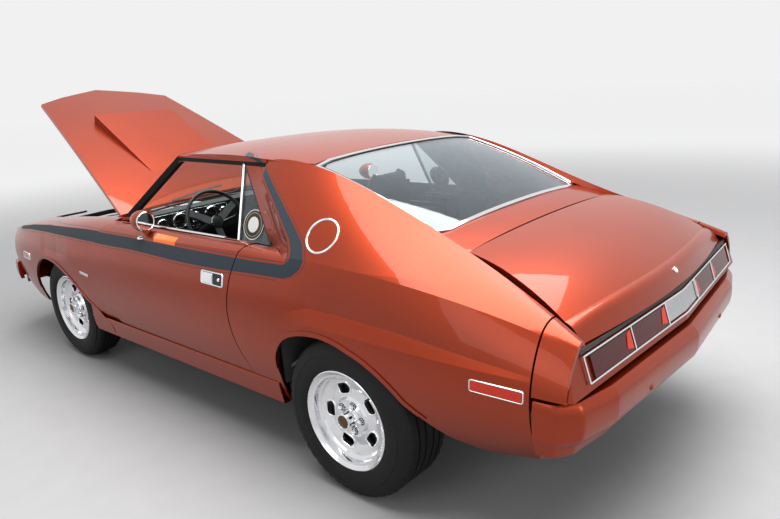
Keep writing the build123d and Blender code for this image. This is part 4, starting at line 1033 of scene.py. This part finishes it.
def pad_form(name, rows, narrow):
    """Pad along (y, z, half thickness) rows, its face towards the sitter."""
    centres = [Vector((SEAT_MIDDLE, y, z)) for y, z, _ in rows]
    rings = []
    for i, (_, _, thick) in enumerate(rows):
        run = (centres[min(i + 1, len(rows) - 1)] - centres[max(i - 1, 0)]).normalized()
        face = Vector((1, 0, 0)).cross(run)
        if face.z < 0 and abs(face.z) > abs(face.y):
            face = -face
        if abs(face.y) >= abs(face.z) and face.y > 0:
            face = -face
        half = (SEAT_RIGHT - SEAT_LEFT) / 2 - .012 - narrow * (i / (len(rows) - 1)) ** 2
        rings.append(pad_ring(centres[i], face, half, thick * .8))
    form = Piece(name)
    form.rings(rings, VINYL)
    return form.done("chassis", "black_vinyl")


# %% Stuffing and sewing
VOXEL, PRESSURE, LAST_FRAME, FURTHEST = .011, 4.0, 14, .016


def shaped(obj):
    """The object's mesh with its modifiers applied, which are then taken off."""
    mesh = bpy.data.meshes.new_from_object(obj.evaluated_get(bpy.context.evaluated_depsgraph_get()))
    obj.modifiers.clear()
    return mesh


def finer(obj, levels):
    """Subdivision of a piece."""
    subdivision = obj.modifiers.new("finer", "SUBSURF")
    subdivision.levels = subdivision.render_levels = levels


def puff(obj):
    """Remeshes the form and lets the cloth solver swell it, no point moving further than FURTHEST."""
    remesh = obj.modifiers.new("even_mesh", "REMESH")
    remesh.mode = "VOXEL"
    remesh.voxel_size = VOXEL
    obj.data = shaped(obj)
    obj.data.materials.clear()
    obj.data.materials.append(VINYL)
    start = [v.co.copy() for v in obj.data.vertices]
    cloth = obj.modifiers.new("swelling", "CLOTH")
    cloth.settings.use_pressure = True
    cloth.settings.uniform_pressure_force = PRESSURE
    cloth.settings.effector_weights.gravity = 0
    cloth.settings.quality = 4
    for step in range(1, LAST_FRAME + 1):
        bpy.context.scene.frame_set(step)
    swollen = shaped(obj)
    for v, first in zip(swollen.vertices, start):
        move = v.co - first
        if move.length > FURTHEST:
            v.co = first + move.normalized() * FURTHEST
    obj.data = swollen
    bpy.context.scene.frame_set(1)


def press_channels(obj, count, depth):
    """Presses sewn channels into the middle of the pad's face."""
    for v in obj.data.vertices:
        u = v.co.x - SEAT_MIDDLE
        if abs(u) <= .135 and v.normal.dot(Vector((0, -.6, .8))) >= .35:
            phase = (u / .27 + .5) * count
            v.co -= v.normal * (depth * math.exp(-((phase - round(phase)) / .13) ** 2))
    obj.data.polygons.foreach_set("use_smooth", [True] * len(obj.data.polygons))


# %% Making the seats
pads = [pad_form("seat_cushion_left", CUSHION, 0), pad_form("seat_back_left", BACK, .075)]
for pad in pads:
    bpy.context.view_layer.objects.active = pad
    puff(pad)
    press_channels(pad, 6, .006)
for pad in pads[:]:
    data = pad.data.copy()
    for v in data.vertices:
        v.co.x = -v.co.x
    data.flip_normals()
    pads.append(link(pad.name.replace("left", "right"), data))
    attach(pads[-1], "chassis")
for pad in pads:
    finer(pad, 1)
shells = Piece("seat_frames")
for _, hand in SIDES:
    middle = .360 * hand
    for x in (.180, .540):
        shells.block((x * hand - .018, -.06, .284), (x * hand + .018, .38, .302), STEEL)
    shells.block((middle - .200, -.085, .300), (middle + .200, .400, .345), PLASTIC)
    rings = []
    for i, (y, z, _) in enumerate(BACK[:-1]):
        half = .190 - .060 * (i / (len(BACK) - 2)) ** 2
        rings.append([Vector((middle + half * side, y + .052 + out, z))
                      for side, out in ((-1, -.012), (1, -.012), (.96, .006), (-.96, .006))])
    shells.rings(rings, PLASTIC)
    for edge_x in (.146, .574):
        shells.lathe((edge_x * hand, .335, .430), (1, 0, 0), ((0, .006), (.020, .006), (.024, .002), (.024, -.006),
                                                             (0, -.006)), CHROME, 24)
shells.done("chassis", "black_vinyl", bevel=.004, replaces="seats")

# %% [markdown]
# ## Steering wheel
# A thin vinyl-wrapped rim on three satin alloy spokes, a black pad with a bright ring in the middle, and a black
# column with a lever for the indicators. The wheel stands square to the column, which slopes down to the bulkhead.

# %% Steering wheel and column
HUB = Vector((.36, -.215, .880))
TO_DRIVER, UP_WHEEL = Vector((0, .906, .423)), Vector((0, -.423, .906))


def on_wheel(angle, radius, lift):
    """Point in the plane of the steering wheel, angle 0 at its top."""
    return HUB + Vector((radius * math.sin(angle), 0, 0)) + UP_WHEEL * (radius * math.cos(angle)) + TO_DRIVER * lift


wheel = Piece("steering_wheel_and_column")
for middle in (0, 2 * math.pi / 3, -2 * math.pi / 3):
    turn = math.pi + middle
    rows = []
    for radius, half, drop in ((.030, .024, -.016), (.075, .021, -.013), (.125, .018, -.006), (.178, .020, 0)):
        rows.append([on_wheel(turn + way * half / radius, radius, drop - under)
                     for way, under in ((-1, 0), (1, 0), (1, .003), (-1, .003))])
    wheel.rings(rows, BARE)
for profile, material, steps, closed in (
        ([(.184 + u, v) for u, v in circle(.0105, 12)], VINYL, 64, True),
        (((0, .008), (.026, .007), (.034, .002), (.036, -.014), (0, -.014)), PLASTIC, 40, False),
        (((.034, .004), (.037, .004), (.039, 0), (.039, -.006), (.034, -.006)), CHROME, 40, True),
        (((0, -.014), (.024, -.014), (.034, -.040), (.036, -.060), (.028, -.075), (.026, -.445), (0, -.445)), STEEL,
         28, False)):
    wheel.lathe(HUB, TO_DRIVER, profile, material, steps, closed)
lever = [HUB - TO_DRIVER * drop + Vector((x, 0, z)) for drop, x, z in ((.052, -.030, 0), (.040, -.09, .010),
                                                                      (.030, -.140, .018))]
wheel.tube(lever, .0035, CHROME)
wheel.lathe(lever[2], (-1, 0, .15), ((0, .016), (.005, .014), (.0065, .006), (.005, 0), (0, 0)), PLASTIC, 16)
wheel.done("chassis", "dark_plastic", replaces="steering_wheel")

# %% [markdown]
# ## Instruments
# Two large dials stand before the driver and smaller ones beside them, each a black face with white graduations, an
# orange needle and a bright ring, set in a black panel. The passenger's side has a padded box lid with a lock.

# %% Dials on the instrument panel
DIALS = ((.488, .008, .042, 21, -95), (.275, .008, .044, 17, -60), (.598, .004, .031, 9, -20),
         (.385, .012, .026, 9, 30), (.193, .010, .022, 7, 10))
MARK = soft("white_graduations", (.72, .72, .70), (.86, .86, .84), .5, 400)
NEEDLE = soft("orange_needle", (.60, .10, .01), (.80, .16, .02), .45, 400)
dash_skin = skin("dashboard")
(face_low, face_high), _ = laid(dash_skin, [(.36, .6, .840), (.36, .6, .936)], FORWARD)
dash_up = (face_high - face_low).normalized()
dash_out = Vector((1, 0, 0)).cross(dash_up)
if dash_out.y < 0:
    dash_out = -dash_out
dash_mid = face_low.lerp(face_high, .5)
dash_side = dash_up.cross(dash_out).normalized()
print("dash face at", [round(v, 3) for v in dash_mid], "facing", [round(v, 3) for v in dash_out])


def on_dash(x, rise, lift=0.0):
    """Point of the instrument face from x and the distance up from its middle."""
    return Vector((x, dash_mid.y, dash_mid.z)) + dash_up * rise + dash_out * lift


def dial(piece, centre, radius, ticks, needle):
    """Ring, face, graduations and needle of one gauge."""
    def pointer(degrees, corners, lift, thick, material):
        way = dash_up * math.cos(math.radians(degrees)) + dash_side * math.sin(math.radians(degrees))
        flank = dash_out.cross(way)
        piece.slab([centre + way * radius * r + flank * s + dash_out * lift for r, s in corners], dash_out * thick,
                   material)

    piece.lathe(centre, dash_out, ((radius, 0), (radius + .006, 0), (radius + .006, .006), (radius + .003, .010),
                                   (radius, .008)), CHROME, 40, closed=True)
    piece.lathe(centre, dash_out, ((0, .002), (radius + .001, .002)), SEAL, 40)
    for k in range(ticks):
        long, half = (.22, radius * .030) if k % 2 == 0 else (.12, radius * .018)
        pointer(-130 + 260 * k / (ticks - 1), ((.93 - long, -half), (.93, -half), (.93, half), (.93 - long, half)),
                .0022, .0006, MARK)
    pointer(needle, ((-.12, -.0022), (.84, -.0008), (.84, .0008), (-.12, .0022)), .003, .0008, NEEDLE)
    piece.lathe(centre, dash_out, ((0, .006), (.004, .006), (.005, .003), (.005, .002)), PLASTIC, 16)


panel = Piece("instrument_panel")
panel.slab([on_dash(.412 + u, v, .0005) for u, v in rounded(.500, .116, .018)], dash_out * .004, PLASTIC)
panel.sweep([on_dash(.412 + u, v, .0040) for u, v in rounded(.500, .116, .018)], dash_out, bead(.004, .002), CHROME,
            closed=True)
for x, rise, radius, ticks, needle in DIALS:
    dial(panel, on_dash(x, rise, .0045), radius, ticks, needle)
for x in (.365, .385, .405):
    panel.lathe(on_dash(x, -.040, .0045), dash_out, ((0, .014), (.005, .013), (.006, 0)), CHROME, 14)
panel.done("chassis", bevel=.0004)
box_lid = Piece("dash_box_lid")
box_lid.slab([on_dash(-.430 + u, v, .0005) for u, v in rounded(.340, .100, .012)], dash_out * .006, VINYL)
box_lid.lathe(on_dash(-.430, .030, .0060), dash_out, ((0, .005), (.008, .004), (.010, 0)), CHROME, 20)
for k in range(7):
    box_lid.slab([on_dash(-.16 + .020 * k + u, v + .006, .0005) for u, v in rounded(.004, .075, .0015, 2)],
                 dash_out * .004, CHROME if k in (0, 6) else STEEL)
box_lid.done("chassis", bevel=.0008)

# %% [markdown]
# ## Door cards
# Each door is closed inside by a vinyl card with a stitched line, a moulded arm rest with a pull, a bright handle and
# a window crank with a round knob.

# %% Door cards
CARD = ((-.46, .42), (.50, .42), (.53, .47), (.53, .84), (.50, .875), (-.46, .875), (-.49, .845), (-.49, .45))
ARM_REST = ((-.10, .010, .600, .640), (-.06, .040, .585, .650), (.10, .052, .580, .655), (.24, .052, .580, .655),
            (.34, .040, .588, .650), (.38, .010, .600, .640))
for side, hand in SIDES:
    wall, _ = touch(skin("door_" + side), (.40 * hand, 0, .60), (hand, 0, 0))
    inward = Vector((-hand, 0, 0))

    def on_card(y, z, out=0.0):
        return Vector((wall.x - (.0005 + out) * hand, y, z))

    card = Piece("door_card_" + side)
    card.slab([on_card(y, z) for y, z in CARD], inward * .006, VINYL)
    for z in (.80, .835):
        card.sweep([on_card(y, z, .006) for y in (-.47, 0, .51)], inward, bead(.005, .003), CHROME)
    card.rings([[on_card(y, low), on_card(y, low, out * .7), on_card(y, (low + high) / 2, out), on_card(y, high, out),
                 on_card(y, high)] for y, out, low, high in ARM_REST], VINYL)
    card.lathe(on_card(-.22, .58, .006), inward, ((0, .016), (.010, .016), (.018, .006), (.020, 0)), CHROME, 24)
    card.sweep([on_card(-.22, .58, .018), on_card(-.27, .52, .024)], inward, ribbon(.014, .005), CHROME)
    card.lathe(on_card(-.27, .52, .026), inward, ((0, .028), (.010, .026), (.013, .014), (.009, 0)), PLASTIC, 20)
    card.sweep([on_card(y, .735, .012) for y in (-.02, .04, .11)], inward, ribbon(.020, .007), CHROME)
    card.done(side + "_door", bevel=.0008)

# %% Interior mirror and shifter knob
view_mirror = Piece("interior_mirror")
hang = Vector((0, -.170, 1.232))
view_mirror.slab([hang + Vector((u, 0, v)) for u, v in rounded(.230, .058, .018)], (0, -.018, -.004), PLASTIC)
view_mirror.slab([hang + Vector((u, .0008, v)) for u, v in rounded(.222, .050, .015)], (0, .0008, 0), CHROME)
lining, _ = touch(skin("roof"), (0, -.105, .9), (0, 0, 1))
view_mirror.tube([hang + Vector((0, -.018, 0)), hang + Vector((0, -.010, .034)), lining + Vector((0, 0, .001))],
                 .006, CHROME)
view_mirror.done("chassis", bevel=.0006)
knob = Piece("shift_knob")
knob_at, _ = touch(skin("console"), (0, -.20, 1.2), DOWN)
knob.lathe(knob_at - Vector((0, 0, .012)), (0, 0, 1), ((0, .052), (.010, .050), (.019, .040), (.022, .028),
                                                      (.018, .012), (.009, .004), (.008, 0), (0, 0)), WHITE, 28)
knob.slab([Vector((u, -.20 + v, .5602)) for u, v in rounded(.120, .170, .020)], (0, 0, .004), CHROME)
knob.slab([Vector((u, -.20 + v, .5640)) for u, v in rounded(.100, .150, .016)], (0, 0, .002), PLASTIC)
knob.done("chassis", bevel=.0006)

# %% [markdown]
# ## Engine bay
# The engine is a V8 in blue enamel with polished ribbed rocker covers, a round bright air cleaner, a distributor with
# its leads at the back and a thermostat housing with the top hose in front. On the bulkhead are the brake servo and
# the heater box. The radiator has a fine finned core between two tanks and a slim fan behind it.

# %% Rocker covers and leads
LEAD = soft("ignition_lead", (.20, .012, .010), (.30, .020, .014), .4, 300, .05)
UP = Vector((0, 0, 1))
engine_skin = skin("engine")
dress = Piece("engine_dress")
for _, hand in SIDES:
    tilt, down = Vector((.707 * hand, 0, .707)), Vector((.707 * hand, 0, -.707))
    inset = Vector((0, .03, 0))
    top = [Vector((.266 * hand, y, .691)) + tilt * .001 for y in (-1.485, -1.19, -.895)]
    dress.sweep(top, tilt, ribbon(.098, .042, .22), ALLOY)
    for k in range(5):
        rise = tilt * .041 + down * (-.028 + .014 * k)
        dress.sweep([top[0] + inset + rise, top[2] - inset + rise], tilt, bead(.006, .004), ALLOY)
    for y in (-1.46, -1.28, -1.10, -.92):
        for reach in (-.044, .044):
            dress.lathe(Vector((.266 * hand, y, .691)) + down * reach + tilt * .014, tilt,
                        ((0, .012), (.007, .012), (.008, 0)), STEEL, 6)
    for k in range(4):
        y = -1.42 + .155 * k
        run = [(.012 * hand, -.885 - .004 * k, .700), (.060 * hand, -.880 - .030 * k, .765),
               (.215 * hand, y + .02, .778), (.322 * hand, y, .716), (.345 * hand, y, .655)]
        dress.tube(along(run, 14), .0042, LEAD, 8)
        dress.lathe((.345 * hand, y, .660), (.4 * hand, 0, -.9), ((0, 0), (.008, 0), (.009, .030), (0, .032)), SEAL,
                    12)

# %% Air cleaner
cleaner, _ = touch(engine_skin, (0, -1.19, 2), DOWN)
for profile, steps in ((((0, .012), (.050, .012), (.058, .007), (.150, .006), (.180, .002), (.186, -.006),
                         (.183, -.008)), 56),
                       (((0, .026), (.004, .026), (.004, .018), (.009, .016), (.012, .012)), 20)):
    dress.lathe(cleaner - UP * .001, UP, profile, CHROME, steps)
pleats = []
for k, (u, v) in enumerate(circle(1, 96)):
    out = .1865 + .003 * (k % 2)
    pleats.append([cleaner + Vector((u * out, v * out, -h)) for h in (.012, .050)])
dress.rings(pleats, WHITE, wrap=False, closed=True)
dress.done("chassis", "engine_iron", bevel=.0008)

# %% Distributor, belt wheels and top hose
front = Piece("engine_front")
post, _ = touch(engine_skin, (0, -.905, 2), DOWN)
front.lathe(post - UP * .001, UP, ((0, .120), (.018, .120), (.040, .104), (.046, .080), (.047, .062), (.036, .056),
                                   (.030, 0)), PLASTIC, 28)
for radius, at, deep in ((.085, (0, -1.5605, .420), .034), (.062, (0, -1.5605, .590), .030),
                         (.048, (.215, -1.5205, .560), .030), (.052, (-.215, -1.5205, .530), .030)):
    front.lathe(at, FORWARD, ((0, deep), (radius * .35, deep), (radius * .8, deep * .8), (radius, deep),
                              (radius * .88, deep * .55), (radius, deep * .1), (radius * .9, 0)), BARE, 36)
front.done("chassis", "engine_iron")
hose = Piece("top_hose")
neck = Vector((.080, -1.500, .655))
hose.lathe(neck, (0, -.3, 1), ((0, .030), (.030, .028), (.034, .010), (.036, -.020), (0, -.020)), ALLOY, 24)
hose.tube(along([neck + Vector((0, -.004, .016)), neck + Vector((.02, -.060, .050)), neck + Vector((.08, -.150, .062)),
                 (.215, -1.705, .700)], 16), .019, SEAL, 16)
for spot, way in ((neck + Vector((.004, -.018, .028)), (.2, -.7, .5)), ((.198, -1.690, .703), (.5, -.8, -.1))):
    hose.lathe(spot, way, ((.0195, -.006), (.0215, -.006), (.0215, .006), (.0195, .006)), CHROME, 24, closed=True)
hose.done("chassis")

# %% Servo and heater box
bulkhead = Piece("bulkhead_units")
servo, _ = touch(skin("firewall"), (.315, -2, .735), (0, 1, 0))
bulkhead.lathe(servo, FORWARD, ((0, .092), (.040, .092), (.060, .080), (.098, .060), (.104, .054), (.104, .044),
                                (.098, .038), (.070, .010), (.066, 0)), BARE, 44)
bulkhead.lathe(servo + FORWARD * .090, FORWARD, ((0, .110), (.018, .110), (.022, .100), (.022, 0)), STEEL, 24)
cup = servo + Vector((0, -.145, .018))
for k in (-1, 1):
    bulkhead.lathe(cup + Vector((0, .030 * k, 0)), UP, ((0, .044), (.018, .044), (.021, .038), (.021, 0)), WHITE, 24)
bulkhead.slab([Vector((-.285 + u, servo.y - .0005, .735 + v)) for u, v in rounded(.230, .150, .020)],
              (0, -.070, 0), PLASTIC)
for drop in (0, -.045):
    start = Vector((-.235, servo.y - .070, .725 + drop))
    bulkhead.tube(along([start, start + Vector((0, -.060, 0)), start + Vector((.060, -.130, -.010)),
                         (-.130, -.885, .690 + drop * .3)], 12), .0095, SEAL, 12)
bulkhead.done("chassis", bevel=.0008)

# %% Radiator core and fan
core = Piece("radiator_core")
back, _ = touch(skin("radiator"), (0, -1.6, .55), FORWARD)
REAR = Vector((0, 1, 0))
for low, high in ((-.325, -.295), (.295, .325)):
    core.block((low, back.y + .0002, .372), (high, back.y + .010, .725), STEEL)
for k in range(44):
    z = .382 + .0078 * k
    core.slab([(x, back.y + .0002, h) for x, h in ((-.292, z), (.292, z), (.292, z + .0034), (-.292, z + .0034))],
              REAR * .004, BARE)
hub = Vector((0, back.y, .555))
core.lathe(hub + REAR * .006, REAR, ((.168, 0), (.176, 0), (.176, .014), (.168, .014)), PLASTIC, 48, closed=True)
for u, v in circle(1, 6):
    way, over = Vector((u, 0, v)), Vector((-v, 0, u))
    blade = []
    for radius, wide, twist in ((.028, .016, .006), (.090, .026, .005), (.160, .034, .004)):
        middle = hub + REAR * .013 + way * radius
        blade.append([middle + over * wide * side + REAR * lift for side, lift in (
            (-1, -twist), (1, twist), (1, twist + .0015), (-1, .0015 - twist))])
    core.rings(blade, PLASTIC)
core.lathe(hub + REAR * .004, REAR, ((0, .018), (.026, .017), (.032, .010), (.032, 0)), PLASTIC, 28)
for turn in (45, 135, 225, 315):
    way = Vector((math.cos(math.radians(turn)), 0, math.sin(math.radians(turn))))
    core.sweep([hub + REAR * .004 + way * r for r in (.030, .172)], REAR, ribbon(.010, .003), STEEL)
core.done("chassis", "radiator_alloy")

# %% [markdown]
# ## Nose
# Each headlamp has a silvered bowl with a bulb behind its clear front, and a bright ring holds it in the grille.
# Amber lenses for parking lamps are let into the bumper, and a thin bright moulding follows the grille's edge.

# %% Headlamps
NOSE_TIP, NOSE_SWEEP = -2.240, .1545
for side, hand in SIDES:
    lamp_piece = Piece("headlamp_" + side)
    for profile, material, steps, closed in (
            (((.0775, -.004), (.0775, .012), (.081, .0165), (.0865, .012), (.0880, .002), (.0880, -.004)), CHROME, 56,
             True),
            (((.010, -.058), (.030, -.050), (.052, -.030), (.066, -.008), (.070, 0)), ALLOY, 48, False),
            (((0, -.022), (.008, -.024), (.011, -.032), (.009, -.046), (.009, -.058)), WHITE, 20, False)):
        lamp_piece.lathe((.596 * hand, -2.147, .620), FORWARD, profile, material, steps, closed)
    lamp_piece.done("chassis", "polished_alloy")

# %% Parking lamps and grille moulding
bumper_skin = skin("front_bumper")
for side, hand in SIDES:
    parking = Piece("parking_lamp_" + side)
    path, ups = laid(bumper_skin, [(.50 * hand + u, -3, .462 + v) for u, v in rounded(.150, .042, .010, 3)], (0, 1, 0))
    parking.sweep(path, ups, bead(.006, .004), CHROME, closed=True)
    parking.slab([p + up * .0005 for p, up in zip(path, ups)], (0, -.0022, 0), LENS_AMBER)
    parking.done("chassis")
moulding = Piece("grille_moulding")
for z in (.7085, .5315):
    path = [Vector((x, NOSE_TIP + NOSE_SWEEP * abs(x) - .004, z)) for x in spread(.70, 25, 0)]
    moulding.sweep(path, FORWARD, bead(.006, .003), CHROME)
moulding.done("chassis")

# %% Splash pan behind the nose
pan = Piece("splash_pan")
rows = []
for k, x in enumerate(spread(.62, 33, 0)):
    rib = .006 if k % 8 in (3, 4, 5) else 0
    front_y = NOSE_TIP + .055 + NOSE_SWEEP * abs(x)
    line = [Vector((x, front_y + (-1.802 - front_y) * j / 6, .346 + (rib if 0 < j < 6 else 0))) for j in range(7)]
    line = [line[0] + Vector((0, 0, .020))] + line + [line[-1] + Vector((0, 0, .016))]
    rows.append(line + [p - Vector((0, 0, .002)) for p in reversed(line)])
pan.rings(rows, STEEL)
pan.done("chassis")

# %% Pad under the bonnet
pad_skin = skin("hood")
pad = Piece("bonnet_pad")
rows = []
for k, x in enumerate(spread(.46, 49, .003)):
    face, back_face = [], []
    for j in range(41):
        point, out = touch(pad_skin, (x, -1.62 + .70 * j / 40, .5), UP)
        quilt = .0012 * abs(math.sin(math.pi * k / 8) * math.sin(math.pi * j / 8)) ** .5
        face.append(point + out * ((.0016 if min(k, 48 - k, j, 40 - j) < 1 else .0036) + quilt))
        back_face.append(point + out * .0006)
    rows.append(face + back_face[::-1])
pad.rings(rows, CARPET)
pad.done("bonnet")

# %% [markdown]
# ## Small fittings
# The door mirrors have silvered glass in a bright rim on a bright foot. Two wipers park along the foot of the
# windscreen. A bare bright strip sits on each front wing behind the wheel, and a plain orange patch on the left door
# top.

# %% Door mirrors
for side, hand in SIDES:
    spot, out = touch(skin("mirror_" + side), (.850 * hand, .5, .992), FORWARD)
    mirror = Piece("mirror_glass_" + side)
    mirror.lathe(spot, out, ((0, .0012), (.0430, .0012), (.0435, .0006)), CHROME, 48)
    mirror.lathe(spot, out, ((.0432, -.002), (.0432, .0028), (.0458, .0040), (.0485, .0022), (.0495, -.002)), CHROME,
                 48, closed=True)
    mirror.lathe((.859 * hand, -.164, .9065), (.12 * hand, 0, 1), ((0, .006), (.014, .005), (.019, .001),
                                                                  (.020, -.004)), CHROME, 28)
    mirror.done(side + "_door")

# %% Wipers
glass_skin = skin("windshield")
ledge = skin("windshield", "firewall", "front_structure")


def screen_foot(x):
    """Where the windscreen ends above its foot, at this x."""
    return last_inside(glass_skin, (x, -.40, 2), (x, -.75, 2)).y


wipers = Piece("wipers")
for pivot_x, tip_x in ((.420, .080), (-.100, -.440)):
    places = [pivot_x - .02 + (tip_x - pivot_x) * k / 11 for k in range(12)]
    points, ups = laid(glass_skin, [(x, screen_foot(x) + .040 + .004 * k, 2) for k, x in enumerate(places)], DOWN, .001)
    wipers.sweep(points, ups, ribbon(.007, .009), SEAL)
    wipers.sweep([p + u * .009 for p, u in zip(points, ups)], ups, bead(.006, .003), STEEL)
    hit, _ = touch(ledge, (pivot_x, screen_foot(pivot_x) + .006, 2), DOWN)
    wipers.lathe(hit - UP * .002, (0, -.2, 1), ((0, .016), (.010, .014), (.013, .006), (.013, 0)), STEEL, 20)
    wipers.sweep(along([hit + UP * .012, points[6] + ups[6] * .013], 5), Vector((0, -.3, 1)), ribbon(.009, .004),
                 STEEL)
wipers.done("chassis", bevel=.0004)

# %% Strips on the wings and patch on the door
for side, hand in SIDES:
    badge = Piece("wing_strip_" + side)
    path, ups = laid(skin("fender_" + side), [(1.4 * hand, -.850 + .016 * k, .634 - .0017 * k) for k in range(7)],
                     (-hand, 0, 0))
    badge.sweep(path, ups, ribbon(.015, .003), CHROME)
    badge.done("chassis", bevel=.0004)
patch = Piece("orange_patch")
door_skin = skin("door_left")
strips = []
for k in range(17):
    found = [touch(door_skin, (1.4, -.045 + .012 * k, .900 + .004 * j), (-1, 0, 0)) for j in range(9)]
    strips.append([p + out * .0006 for p, out in found] + [p + out * .0016 for p, out in reversed(found)])
patch.rings(strips, ORANGE)
patch.done("left_door")

# %% [markdown]
# ## Studio
# A pale seamless floor whose painted glow, an emission, grows with distance until it meets the white around it, one
# broad lamp over the car for the long highlight on the roof and deck, and two weaker ones at the left and behind the
# tail. The world is white to the camera and to mirrors, and gives a modest fill light.

# %% Floor and lamps
FLOOR_HALF = 40
floor_finish = Finish("pale_floor_finish", (.60, .60, .61), .6)
grit = floor_finish.noise(8, 4)
floor_finish.feed("Base Color", floor_finish.mix(grit, (.38, .38, .385), (.42, .42, .425)))
_, (floor_x, floor_y, _) = floor_finish.axes()
# Painted light: the floor glows by emission, more with distance, so it fades into the white backdrop.
floor_glow = ((floor_x * floor_x + floor_y * floor_y) ** .5).step(3, 12)
floor_finish.feed("Emission Color", floor_finish.mix(floor_glow, (0, 0, 0), (.62, .62, .622)))
floor_finish.shader.inputs["Emission Strength"].default_value = 1
floor_mesh = bpy.data.meshes.new("studio_floor")
floor_corners = [(x * FLOOR_HALF, y * FLOOR_HALF, 0) for x, y in ((-1, -1), (1, -1), (1, 1), (-1, 1))]
floor_mesh.from_pydata(floor_corners, [], [(0, 1, 2, 3)])
floor_mesh.materials.append(floor_finish.material)
link("studio_floor", floor_mesh)


def lamp(name, at, towards, size, power):
    """Square soft lamp that points at a place on the car."""
    light = bpy.data.lights.new(name, "AREA")
    light.size = size
    light.energy = power
    obj = link(name, light)
    obj.location = at
    obj.rotation_euler = (Vector(towards) - Vector(at)).to_track_quat("-Z", "Y").to_euler()


lamp("over_car", (-.5, .8, 5.2), (-.1, .2, .6), 6, 680)
lamp("left_side", (7.0, 0.5, 3.6), (0, 0, .7), 3.5, 50)
lamp("behind_tail", (1.0, 7.5, 3.6), (0, 1.5, .7), 3, 80)
world = bpy.data.worlds.new("studio")
bpy.context.scene.world = world
world.use_nodes = True
sky = world.node_tree
fill, white = sky.nodes["Background"], sky.nodes.new("ShaderNodeBackground")
for background, colour, strength in ((fill, (.95, .97, 1, 1), .30), (white, (1, 1, 1, 1), .88)):
    background.inputs["Color"].default_value = colour
    background.inputs["Strength"].default_value = strength
ray = sky.nodes.new("ShaderNodeLightPath")
seen = ray.outputs["Is Camera Ray"]
for kind in ("Is Glossy Ray", "Is Transmission Ray"):
    either = sky.nodes.new("ShaderNodeMath")
    either.operation = "MAXIMUM"
    sky.links.new(seen, either.inputs[0])
    sky.links.new(ray.outputs[kind], either.inputs[1])
    seen = either.outputs[0]
pick = sky.nodes.new("ShaderNodeMixShader")
for socket, source in enumerate((seen, fill.outputs[0], white.outputs[0])):
    sky.links.new(source, pick.inputs[socket])
sky.links.new(pick.outputs[0], sky.nodes["World Output"].inputs[0])
bpy.context.scene.view_settings.view_transform = "Standard"
